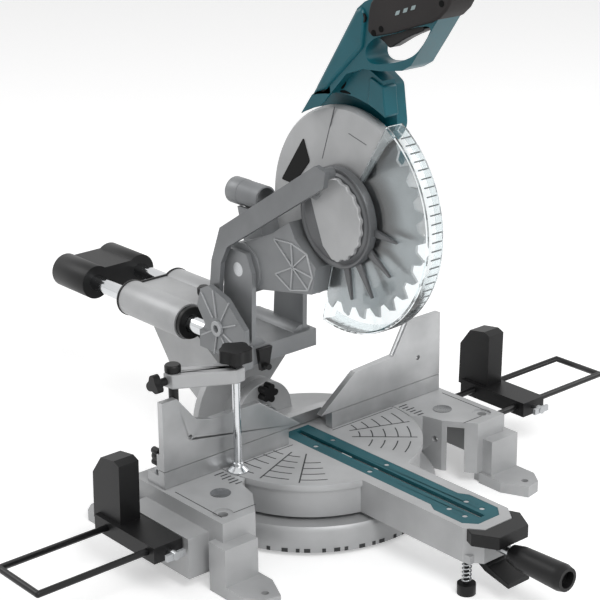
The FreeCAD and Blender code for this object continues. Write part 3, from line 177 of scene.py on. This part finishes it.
def plate(name, axis, outline, low, high, finish, body, holes=(), corner=0, **look):
    """A finished flat piece with this outline, from low to high along the axis."""
    shape = bmesh.new()
    slab(shape, axis, rounded(outline, corner), low, high, [rounded(h, corner) for h in holes])
    return shown(name, shape, finish, body, **look)


def spun(shape, profile, centre, axis="X", start=0.0, sweep=360.0, steps=64):
    """Adds a profile of (radius, distance along the axis) turned about an axis through centre.
    About X an angle is counted from +Y towards +Z."""
    full = abs(sweep) >= 359.9
    turn = {"X": Vector((1, 0, 0)), "Y": Vector((0, 1, 0)), "Z": Vector((0, 0, 1))}[axis]
    radial = {"X": Vector((0, 1, 0)), "Y": Vector((1, 0, 0)), "Z": Vector((1, 0, 0))}[axis]
    hub = Vector(lift(axis, centre, 0))
    verts = [shape.verts.new(hub + radial * r + turn * a) for r, a in profile]
    edges = [shape.edges.new((verts[i], verts[i + 1])) for i in range(len(verts) - 1)]
    gap = Vector(profile[0]) - Vector(profile[-1])
    if gap.length > 1e-6 and not full:
        edges.append(shape.edges.new((verts[-1], verts[0])))
    if start:
        bmesh.ops.rotate(shape, verts=verts, cent=hub, matrix=Matrix.Rotation(math.radians(start), 3, turn))
    if not full:
        bmesh.ops.contextual_create(shape, geom=edges)
    made = bmesh.ops.spin(shape, geom=verts + edges, cent=hub, axis=turn, angle=math.radians(sweep),
                          steps=steps, use_merge=full)
    if not full:
        last = [g for g in made["geom_last"] if isinstance(g, bmesh.types.BMEdge)]
        bmesh.ops.contextual_create(shape, geom=last)
    return shape


def wheel(shape, axis, centre, radius, low, high, steps=32):
    """Adds a plain round disc or rod."""
    ring = [(centre[0] + radius * math.cos(2 * math.pi * i / steps),
             centre[1] + radius * math.sin(2 * math.pi * i / steps)) for i in range(steps)]
    return slab(shape, axis, ring, low, high)


for name in ("base_casting", "table_wing_left", "table_wing_right"):
    dress(name, silver_coat, edge=1.6, segments=3)
dress("gear_case", silver_coat, edge=1.5)

# Bright zinc plating on screws, pins and springs: a cool, slightly cloudy shine.
zinc_plate = finish_of("zinc plated steel", "#a9abad", "#bfc1c3", rough=0.3, metallic=1.0, grain=0.6)
for name in ("pivot_bolt", "fence_bolts", "insert_screws", "bevel_pivot", "hinge_pin",
             "mitre_lock_rod", "stop_screw_left", "stop_screw_right", "foot_spring",
             "return_spring", "arbor", "drive_gear", "spindle_lock", "blade_flanges"):
    dress(name, zinc_plate, edge=0.3)

# ---------------------------------------------------------------- turntable and kerf insert
# The turntable is a die casting coated like the base, with a flat top. Its arcs, its rulers and
# the marks round the skirt are thin dark inlays here. The kerf insert is a teal moulded strip.

dress("turntable", silver_coat, edge=1.0)
dress("bevel_bracket", silver_coat, edge=1.2)
teal_insert = finish_of("moulded teal nylon insert", "#17525b", "#1c5a63", rough=0.5, grain=0.8,
                        Specular_IOR_Level=0.3)
dress("kerf_insert", teal_insert, edge=0.5)
TABLE_TOP = 86.0
INLAY = (TABLE_TOP - 0.1, TABLE_TOP + 0.15)
# A dark matt inlay stands for the shadow in a cast groove.
groove_dark = finish_of("cast groove shadow", "#3c3d3e", "#48494a", rough=0.6, Specular_IOR_Level=0.2)


def stroke(shape, points, width, low, high):
    """Adds a flat strip of this width that follows the points, lying on a level face."""
    left, right = [], []
    for i, here in enumerate(points):
        along = (Vector(points[min(i + 1, len(points) - 1)]) - Vector(points[max(i - 1, 0)])).normalized()
        aside = Vector((-along.y, along.x)) * width / 2
        left.append(tuple(Vector(here) + aside))
        right.append(tuple(Vector(here) - aside))
    return slab(shape, "Z", left + right[::-1], low, high)


def on_circle(radius, angle):
    """The point at this angle, in degrees, on a circle about the table's pivot."""
    return (radius * math.cos(math.radians(angle)), radius * math.sin(math.radians(angle)))


def curve(radius, first, last, steps=10):
    """An arc about the table's pivot."""
    return [on_circle(radius, first + (last - first) * i / steps) for i in range(steps + 1)]


shape = bmesh.new()
for radius in (62, 78, 94, 110, 126):
    for side in (0, 1):
        for k in range(3):
            first = (-64 + k * 21) if side else (-179 + k * 21)
            if radius == 62 and k == (0 if side else 2):
                continue
            stroke(shape, curve(radius, first, first + 15), 1.6, *INLAY)
for angle in (-22, -43, -158, -137):
    stroke(shape, [on_circle(52, angle), on_circle(134, angle)], 1.8, *INLAY)
stroke(shape, [(33, -4), (139, -4)], 1.2, *INLAY)
stroke(shape, [(-139, -4), (-33, -4)], 1.2, *INLAY)
shown("table_grooves", shape, groove_dark, "table", edge=0)

shape = bmesh.new()
for side in (-1, 1):
    for k in range(6):
        y = -8 - k * 7
        stroke(shape, [(side * 146, y), (side * (156 if k % 2 else 160), y)], 2.2, *INLAY)
    stroke(shape, [(side * 222, -100), (side * 222, -12)], 1.2, *INLAY)
    stroke(shape, [(side * 172, -100), (side * 205, -100)], 1.2, *INLAY)
shown("wing_rules", shape, groove_dark, "base", edge=0)
shape = bmesh.new()
for i in range(22):
    angle = -150 + i * 5.7 + (1.6 if i % 3 else 0)
    tooth = bmesh.new()
    bmesh.ops.create_cube(tooth, size=1.0)
    bmesh.ops.scale(tooth, vec=(0.8, 7.5 if i % 2 else 4.5, 5.0), verts=tooth.verts)
    bmesh.ops.translate(tooth, verts=tooth.verts, vec=(158.0, 0, 8.8))
    bmesh.ops.rotate(tooth, verts=tooth.verts, cent=(0, 0, 0),
                     matrix=Matrix.Rotation(math.radians(angle), 3, "Z"))
    mesh = bpy.data.meshes.new("tooth")
    tooth.to_mesh(mesh)
    tooth.free()
    shape.from_mesh(mesh)
shown("skirt_notches", shape, groove_dark, "base", edge=0)
for name, side in (("left", -1), ("right", 1)):
    shape = bmesh.new()
    spun(shape, [(0.01, 86.1), (11, 86.1), (11.6, 86.5), (12.4, 86.5), (12.4, 85.8), (0.01, 85.8)],
         (side * 184, -50), axis="Z", steps=36)
    disc = finish_of(f"bare disc inlay {name}", "#77797a", "#85878a", rough=0.3, metallic=0.7)
    shown(f"wing_disc_{name}", shape, disc, "base", edge=0)

# ---------------------------------------------------------------- knobs, stops and wires
# Knobs, levers, end caps and end stops are moulded in black nylon, satin with a fine texture.
# The extension wires are bent steel rod with a thin black coat.

black_nylon = finish_of("black moulded nylon", "#0d0d0e", "#131314", rough=0.42, grain=0.7, relief=0.05,
                        Specular_IOR_Level=0.3)
for name in ("pointer_bezel", "detent_lever", "mitre_lock_grip", "leveling_foot", "bevel_lock_knob",
             "slide_lock_knob", "fence_knob_left", "fence_knob_right", "rail_end_cap", "front_seal",
             "rear_seal", "end_stop_left", "end_stop_right", "depth_stop", "lock_off_button"):
    dress(name, black_nylon, edge=1.0)
black_steel = finish_of("black coated steel rod", "#0a0a0b", "#101011", rough=0.35, grain=0.8,
                        Specular_IOR_Level=0.35)
for name in ("extension_wire_left", "extension_wire_right"):
    dress(name, black_steel, edge=0)

# ---------------------------------------------------------------- fences
# The fences are extruded aluminium plates, machined on the face, so they carry fine marks along
# their length and shine softly.

bare_aluminium = finish_of("machined aluminium", "#a6a7a8", "#bbbcbd", rough=0.34, metallic=0.75,
                           grain=0.9, relief=0.05, stretch=(0.05, 1, 1))
for name in ("lower_fence", "fence_plate_left", "fence_plate_right"):
    dress(name, bare_aluminium, edge=0.6)

# ---------------------------------------------------------------- rails and their support
# Two ground and chromed steel tubes slide in a cast housing with bronze sleeves. The chrome
# is near a mirror.

chrome = finish_of("hard chromed steel", "#c9cbcd", "#d4d6d8", rough=0.1, metallic=1.0, grain=2.0,
                   relief=0.005, spread=0.04)
dress("slide_rails", chrome, edge=0.6)
dress("rail_support", silver_coat, edge=2.0, segments=3)
bronze = finish_of("oil bronze sleeve", "#8a6a3c", "#9a7a48", rough=0.35, metallic=1.0)
dress("rail_bushings", bronze, edge=0.3)

# ---------------------------------------------------------------- carriage and head casting
# The carriage and the head arm are die castings in a darker coat than the base, with raised
# ribs. The ribs and the hub boss are coloured lighter than the coat, as a painted highlight on their edges.
# The link is a separate casting.

grey_coat = finish_of("mid grey powder coat on die casting", "#7f8183", "#8b8d8f", rough=0.42,
                      metallic=0.3, grain=1.2, relief=0.10)
dark_coat = finish_of("dark grey coated pressing", "#606264", "#6c6d6f", rough=0.4, metallic=0.3, grain=1.0)
dress("carriage_bracket", grey_coat, edge=1.4)
dress("head_arm", grey_coat, edge=2.0, segments=3)
link_grey = finish_of("grey coated link casting", "#717375", "#7d7f81", rough=0.38, metallic=0.3, grain=1.0)
dress("guard_link", link_grey, edge=1.2)
# The ribs' lighter colour is a painted highlight, not a different coat.
rib_painted_highlight = finish_of("painted highlight on cast rib edge", "#a9abad", "#b5b7b9", rough=0.4, metallic=0.2)


def ribs(name, x, lines, body, width=1.8, tall=1.6):
    """Raised cast ribs on a face that looks left, along these (y, z) lines."""
    shape = bmesh.new()
    for start, end in lines:
        a, b = Vector(start), Vector(end)
        side = (b - a).normalized() * width / 2
        side = Vector((-side.y, side.x))
        slab(shape, "X", [tuple(a + side), tuple(a - side), tuple(b - side), tuple(b + side)],
             x - tall, x + 0.2)
    return shown(name, shape, rib_painted_highlight, body, edge=0.3)


node = Vector((-12, 322))
rim = [(22, 350), (-10, 352), (-38, 345), (-48, 318), (-40, 300), (-8, 292), (20, 306)]
ribs("arm_ribs", -36, [(tuple(node), r) for r in rim] + list(zip(rim, rim[1:])), "head")
hub = (96, 222)
edge_ring = [(128, 262), (104, 270), (72, 262), (60, 236), (58, 206), (70, 186), (104, 186), (130, 204)]
ribs("cheek_ribs", -68, [((hub[0] + (r[0] - hub[0]) * 0.28, hub[1] + (r[1] - hub[1]) * 0.28), r)
                         for r in edge_ring], "carriage")
# The boss is coloured with the same painted highlight.
shape = bmesh.new()
spun(shape, [(5, -68), (5, -72), (9.5, -72), (10, -71.5), (10, -68)], hub, steps=32)
shown("cheek_boss", shape, rib_painted_highlight, "carriage", edge=0)
dress("dust_port", grey_coat, edge=0.8)
dress("clamp_arm", silver_coat, edge=1.6)
dress("clamp_post", black_steel, edge=0.6)

# The clamp's threaded spindle is bright steel with a swivel pad; its lobed knob is moulded on.
# A second lobed knob locks the arm to its post, which ends in a moulded cap.

CLAMP = (-130.0, -16.0)


def lobes(centre, radius, count, depth, start=0.0):
    """A round outline whose edge swells into finger lobes."""
    ring = []
    for i in range(count * 12):
        angle = math.radians(start + 360 * i / (count * 12))
        far = radius - depth * (0.5 - 0.5 * math.cos(count * (angle - math.radians(start))))
        ring.append((centre[0] + far * math.cos(angle), centre[1] + far * math.sin(angle)))
    return ring


shape = bmesh.new()
spun(shape, [(0.01, 86.4), (13, 86.4), (13, 88), (10, 90.5), (7, 93), (6.4, 97), (5, 98), (5, 224),
             (0.01, 224)], CLAMP, axis="Z", steps=40)
spindle = shown("clamp_spindle_rod", shape, chrome, "clamp_spindle", edge=0.2)
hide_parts("clamp_screw")
shape = bmesh.new()
spun(shape, [(0.01, 222), (8, 222), (8.5, 228), (13, 231), (0.01, 231)], CLAMP, axis="Z", steps=40)
slab(shape, "Z", lobes(CLAMP, 20.5, 5, 3.4, 20), 229, 245)
shown("clamp_knob", shape, black_nylon, "clamp_spindle", edge=1.6)
shape = bmesh.new()
spun(shape, [(0.01, 221), (9, 221), (10, 222.5), (10, 229), (8.5, 231), (0.01, 231)], (-195, 21), axis="Z",
     steps=36)
shown("clamp_post_cap", shape, black_nylon, "clamp", edge=0.3)
shape = bmesh.new()
slab(shape, "X", lobes((21, 212), 12.5, 3, 5, 90), -226, -217)
wheel(shape, "X", (21, 212), 5, -218, -206)
shown("clamp_post_knob", shape, black_nylon, "clamp", edge=1.2)

# ---------------------------------------------------------------- blade
# The blade is a hardened steel disc, ground and lightly brushed round, with carbide tips.

blade_steel = finish_of("ground tool steel", "#a7a9ab", "#b9bbbd", rough=0.3, metallic=0.9, grain=1.2,
                        relief=0.02)
dress("saw_blade", blade_steel, edge=0)

# ---------------------------------------------------------------- guards
# The upper guard is a cast half shell. The visor below is clear moulded polycarbonate with
# ribs across its rim, on a dark hub ring.

HUB = (-73.0, 395.0)


def around(y, z):
    """A point given by its distances from the blade's axis."""
    return (HUB[0] + y, HUB[1] + z)


shape = bmesh.new()
spun(shape, [(38, -9.2), (60, -10), (104, -10), (107, -9.2), (120, -9.0), (126.5, -7.5), (129.4, -4),
             (130, 0), (129.4, 4), (126.5, 7.5), (120, 9.6), (60, 10), (60, 8), (118, 7.6), (125.5, 5),
             (127.5, 0), (125.5, -5), (118, -7), (38, -7)], HUB, start=-26, sweep=152, steps=48)
guard_shell = shown("upper_guard_shell", shape, silver_coat, "head", edge=0)
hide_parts("upper_guard")

seam_dark = finish_of("joint line of the guard halves", "#55575a", "#606265", rough=0.5)
for i, (first, last) in enumerate((((14, 128), (36, 62)), ((-10, 101), (-40, 93)))):
    a, b = Vector(around(*first)), Vector(around(*last))
    side = (b - a).normalized() * 0.45
    side = Vector((-side.y, side.x))
    plate(f"guard_seam_{i}", "X", [tuple(a + side), tuple(a - side), tuple(b - side), tuple(b + side)],
          -10.25, -9.2, seam_dark, "head", edge=0)
label_black = finish_of("black satin plate", "#030303", "#060606", rough=0.5, Specular_IOR_Level=0.15)
plate("blank_plate", "X", [around(69, 81), around(58, 54), around(87, 20), around(110, 22)],
      -10.8, -9.8, label_black, "head", corner=3, edge=0.2)

clear = bpy.data.materials.new("clear polycarbonate")
clear.use_nodes = True
shader = clear.node_tree.nodes["Principled BSDF"]
shader.inputs["Base Color"].default_value = linear("#eef3f4")
shader.inputs["Roughness"].default_value = 0.06
shader.inputs["IOR"].default_value = 1.58
shader.inputs["Transmission Weight"].default_value = 1.0

shape = bmesh.new()
spun(shape, [(58, -13), (139, -13), (142.2, -12.2), (143, -10), (143, 12), (133, 12), (133, 10.6),
             (140.5, 10.6), (140.5, -9), (139, -10.5), (58, -10.5)], HUB, start=122, sweep=162, steps=72)
visor = shown("visor_shell", shape, clear, "visor", edge=0)
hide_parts("lower_guard")
# The rim ribs are clear like the visor; their dark grey colour is painted shade for their edges.
rim_rib_painted_shade = finish_of("painted shade on rib edges of clear moulding", "#5a6062", "#6a7072", rough=0.25, Specular_IOR_Level=0.4)
shape = bmesh.new()
for i in range(36):
    rib = bmesh.new()
    angle = math.radians(130 + i * 4.2)
    middle = around(142.6 * math.cos(angle), 142.6 * math.sin(angle))
    bmesh.ops.create_cube(rib, size=1.0)
    bmesh.ops.scale(rib, vec=(15, 1.2, 1.5), verts=rib.verts)
    bmesh.ops.rotate(rib, verts=rib.verts, cent=(0, 0, 0), matrix=Matrix.Rotation(angle, 3, "X"))
    bmesh.ops.translate(rib, verts=rib.verts, vec=(2, middle[0], middle[1]))
    mesh = bpy.data.meshes.new("rib")
    rib.to_mesh(mesh)
    rib.free()
    shape.from_mesh(mesh)
shown("visor_rim_ribs", shape, rim_rib_painted_shade, "visor", edge=0)

shape = bmesh.new()
spun(shape, [(40.4, -24), (52, -24), (55, -21), (58, -23.5), (60.4, -23.5), (61, -22), (61, -13),
             (40.4, -13), (40.4, -24)], HUB, steps=72)
shown("visor_hub_ring", shape, dark_coat, "visor", edge=0.3)
for i, (angle, reach) in enumerate(((186, 97), (212, 101), (237, 103), (258, 100))):
    turn = math.radians(angle)
    out = Vector((math.cos(turn), math.sin(turn)))
    side = Vector((-out.y, out.x))
    outline = [Vector(HUB) + out * 58 - side * 5, Vector(HUB) + out * reach - side * 0.8,
               Vector(HUB) + out * reach + side * 0.8, Vector(HUB) + out * 58 + side * 5]
    plate(f"visor_rib_{i}", "X", [tuple(p) for p in outline], -17, -12.6, dark_coat, "visor", edge=0.6)

# ---------------------------------------------------------------- hub cover
# A light cast plate with a scalloped front edge covers the arbor.

outline = []
for i in range(40):
    angle = math.radians(100 + i * 4.3)
    radius = 50 + (1.3 if i % 4 < 2 else -0.6)
    outline.append(around(radius * math.cos(angle), radius * math.sin(angle)))
outline += [around(14, -36), around(26, -6), around(37, 24), around(14, 47)]
cover = plate("hub_cover_plate", "X", outline, -30, -24.4, silver_coat, "head", edge=1.2)
shape = bmesh.new()
wheel(shape, "X", HUB, 39.5, -25, -10.3, steps=48)
cover_neck = shown("hub_cover_neck", shape, dark_coat, "head", edge=0.5)
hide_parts("hub_cover")
shape = bmesh.new()
spun(shape, [(0.01, -30), (9, -30), (9.6, -31.4), (6, -31.8), (5.4, -30.6), (0.01, -30.6)],
     around(26, 28), steps=32)
shown("hub_cover_boss", shape, grey_coat, "head", edge=0)

# ---------------------------------------------------------------- handle and motor
# The handle and the drive housing are one teal moulding in glass-filled nylon, satin and clean
# edged. A soft matt grip covers the top bar, and near-black inlays of painted shade stand for the cooling
# vents and the screw holes.

teal = finish_of("moulded teal nylon", "#0a5560", "#0e5d69", rough=0.34, grain=0.9, relief=0.04,
                 Specular_IOR_Level=0.35)
grip_rubber = finish_of("soft grip rubber", "#1c1919", "#242020", rough=0.6, grain=0.8, relief=0.12,
                        Specular_IOR_Level=0.3)
motor_brown = finish_of("brown grey moulded nylon", "#463c3b", "#4e4443", rough=0.45)
dress("motor_housing", teal, edge=1.0)


def arc(radius, first, last, steps=12):
    """Points on a circle about the blade's axis, by angle from +Y towards +Z."""
    made = []
    for i in range(steps + 1):
        angle = math.radians(first + (last - first) * i / steps)
        made.append(around(radius * math.cos(angle), radius * math.sin(angle)))
    return made


def placed(points):
    return [around(y, z) for y, z in points]


def smooth(points, rounds=2):
    """The closed outline with its corners cut, as a moulded curve."""
    for _ in range(rounds):
        cut = []
        for i, here in enumerate(points):
            ahead = points[(i + 1) % len(points)]
            cut.append(tuple(0.78 * a + 0.22 * b for a, b in zip(here, ahead)))
            cut.append(tuple(0.22 * a + 0.78 * b for a, b in zip(here, ahead)))
        points = cut
    return points


ring = placed([(-32, 249), (-44, 258), (-64, 267), (-120, 287), (-168, 301), (-184, 299), (-186, 286),
               (-170, 270), (-118, 198), (-104, 190), (-70, 184), (-42, 182), (-14, 172), (12, 146)])
opening = smooth(placed([(-46, 208), (-46, 194), (-60, 189), (-100, 199), (-124, 210),
                         (-140, 228), (-150, 246), (-120, 240), (-88, 228), (-60, 220)]))
shell = plate("handle_ring", "X", ring + arc(144.6, 84, 72.3), -17, 17, teal, "head", holes=[opening],
              edge=5.5, segments=4)
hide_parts("handle_shell")
plate("handle_foot", "X", placed([(46, 138), (66, 112), (62, 114.5), (44, 122.5), (30, 127),
                                  (12, 146), (14, 160)]), -17, -13.6, teal, "head", edge=0.8)
plate("handle_spine", "X", placed([(42, 141), (-31, 247), (-42, 254), (-47, 240), (-42, 205), (20, 148)]),
      -21, 21, teal, "head", edge=6, segments=4)
plate("drive_cover", "X", placed([(20, 170), (0, 176), (-37, 181), (-62, 170), (-63, 150), (-66, 129)])
      + arc(144.6, 117, 74), -6, 13.4, teal, "head", edge=3, segments=3)
plate("drive_ledge", "X",
      placed([(-44, 172), (-66, 164), (-67, 150), (-70, 131)]) + arc(146, 117.5, 106, 6), -9, 12, teal, "head", edge=1.5)
plate("drive_root", "X", placed([(70, 100), (66, 112), (32, 158), (-40, 176), (-60, 164), (-66, 118),
                                 (-50, 60), (44, 60)]), 13.4, 29.4, teal, "head", corner=4, edge=2)
# The vent and screw hole inlays are near-black: painted shade for the dark inside of each opening.
painted_hole_shade = finish_of("painted shade in vent and screw openings", "#040505", "#070808", rough=0.7, Specular_IOR_Level=0.1)
for i, leaf in enumerate(([(12, 168), (2, 170), (-3, 158), (5, 148), (13, 156)],
                          [(24, 160), (17, 150), (26, 144), (34, 148)],
                          [(9, 147.5), (0, 149.5), (-12, 146.2), (-2, 145.6), (8, 145.4)])):
    plate(f"vent_{i}", "X", smooth(placed(leaf)), -6.5 if i != 1 else -17.6, -5.6 if i != 1 else -16.8,
          painted_hole_shade, "head", edge=0)

top_bar = placed([(-50, 219), (-54, 256), (-64, 268), (-120, 289), (-164, 302), (-182, 290), (-176, 268),
                  (-158, 252), (-121, 240), (-90, 229)])
grip = plate("grip_sleeve", "X", smooth(top_bar, 1), -20, 20, grip_rubber, "head", edge=9, segments=5)
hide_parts("handle_grip")
slot_grey = finish_of("pale grip inlay", "#8fa0a2", "#9aabad", rough=0.5)
for i in range(3):
    y = -96 - 12 * i
    z = 250 + 4.4 * i
    plate(f"grip_inlay_{i}", "X", placed([(y, z), (y - 6, z + 2), (y - 8, z + 7), (y - 2, z + 5)]),
          -20.5, -19.4, slot_grey, "head", corner=1, edge=0)
# The screw holes are near-black discs of painted shade.
for i, (y, z) in enumerate(((-62, 226), (-74, 232), (-166, 272))):
    shape = bmesh.new()
    wheel(shape, "X", around(y, z), 3.6, -20.4, -18, steps=20)
    shown(f"grip_screw_{i}", shape, painted_hole_shade, "head", edge=0)
pull = placed([(-50, 221), (-64, 216), (-74, 209), (-80, 212), (-104, 226), (-132, 238),
               (-120, 244), (-86, 232)])
lever = plate("trigger_lever", "X", smooth(pull, 1), -8, 8, black_nylon, "switch", edge=2)
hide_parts("trigger")
shape = bmesh.new()
spun(shape, [(40.5, 32), (41.6, 33), (41.6, 62), (40.5, 63), (40.1, 62), (40.1, 33)], around(30, 100),
     start=70, sweep=110, steps=24)
band_brown = finish_of("brown grey moulded band", "#3a302f", "#423736", rough=0.4)
shown("motor_band", shape, band_brown, "head", edge=0)
dress("motor_end_cap", motor_brown, edge=1.0)
copper = finish_of("varnished copper winding", "#7a4426", "#8d5230", rough=0.35, metallic=0.9)
dress("motor_stator", copper, edge=0.3)
dress("motor_armature", copper, edge=0.3)

# ---------------------------------------------------------------- studio
# A pale floor and a white surround, with three soft lamps.

floor_shape = bmesh.new()
bmesh.ops.create_grid(floor_shape, x_segments=1, y_segments=1, size=6.0)
floor_mesh = bpy.data.meshes.new("studio_floor")
floor_shape.to_mesh(floor_mesh)
floor_shape.free()
floor = bpy.data.objects.new("studio_floor", floor_mesh)
bpy.context.scene.collection.objects.link(floor)
floor_paint = bpy.data.materials.new("white studio floor")
floor_paint.use_nodes = True
tree = floor_paint.node_tree
paint = tree.nodes["Principled BSDF"]
paint.inputs["Base Color"].default_value = linear("#f7f7f7")
paint.inputs["Roughness"].default_value = 0.9
path = add(tree, "LightPath")
seen = add(tree, "Math", [(0, path, "Is Camera Ray"), (1, path, "Is Glossy Ray")], operation="MAXIMUM")
also = add(tree, "Math", [(0, seen, "Value"), (1, path, "Is Transmission Ray")], operation="MAXIMUM")
glow = add(tree, "Math", [(0, also, "Value")], operation="MULTIPLY")
glow.inputs[1].default_value = 0.38
paint.inputs["Emission Color"].default_value = (1, 1, 1, 1)
tree.links.new(glow.outputs["Value"], paint.inputs["Emission Strength"])
floor_mesh.materials.append(floor_paint)

world = bpy.data.worlds.new("white surround")
world.use_nodes = True
bpy.context.scene.world = world
tree = world.node_tree
ground = tree.nodes["Background"]
ground.inputs["Color"].default_value = (1, 1, 1, 1)
path = add(tree, "LightPath")
seen = add(tree, "Math", [(0, path, "Is Camera Ray"), (1, path, "Is Glossy Ray")], operation="MAXIMUM")
also = add(tree, "Math", [(0, seen, "Value"), (1, path, "Is Transmission Ray")], operation="MAXIMUM")
level = add(tree, "MapRange", [("Value", also, "Value")], To_Min=0.42, To_Max=1.0)
tree.links.new(level.outputs["Result"], ground.inputs["Strength"])


def lamp(name, spot, size, power, target=(0, 0, 0.25)):
    light = bpy.data.lights.new(name, "AREA")
    light.shape = "DISK"
    light.size = size
    light.energy = power
    holder = bpy.data.objects.new(name, light)
    holder.location = spot
    holder.rotation_euler = (Vector(target) - Vector(spot)).to_track_quat("-Z", "Y").to_euler()
    bpy.context.scene.collection.objects.link(holder)


lamp("key lamp", (-0.6, -2.2, 2.4), 1.6, 42)
lamp("side lamp", (2.4, -0.8, 1.5), 1.4, 16)
lamp("back lamp", (-1.2, 2.2, 2.2), 1.6, 20)

turn, rise, roll = math.radians(40.92), math.radians(19.01), math.radians(0.55)
back = Vector((-math.sin(turn) * math.cos(rise), -math.cos(turn) * math.cos(rise), math.sin(rise)))
right = Vector((math.cos(turn), -math.sin(turn), 0))
up = back.cross(right)
lens_right = right * math.cos(roll) - up * math.sin(roll)
lens_up = right * math.sin(roll) + up * math.cos(roll)
eye = Vector((0, 0, 0.30295)) + back * 2.15395
camera_data = bpy.data.cameras.new("camera")
camera_data.sensor_width = 36
camera_data.lens = 106.1
camera_data.shift_x = -0.0152
camera_data.shift_y = -0.0443
camera = bpy.data.objects.new("camera", camera_data)
camera.matrix_world = Matrix((
    (lens_right.x, lens_up.x, back.x, eye.x), (lens_right.y, lens_up.y, back.y, eye.y),
    (lens_right.z, lens_up.z, back.z, eye.z), (0, 0, 0, 1)))
bpy.context.scene.collection.objects.link(camera)
bpy.context.scene.camera = camera
bpy.context.scene.view_settings.view_transform = "Standard"
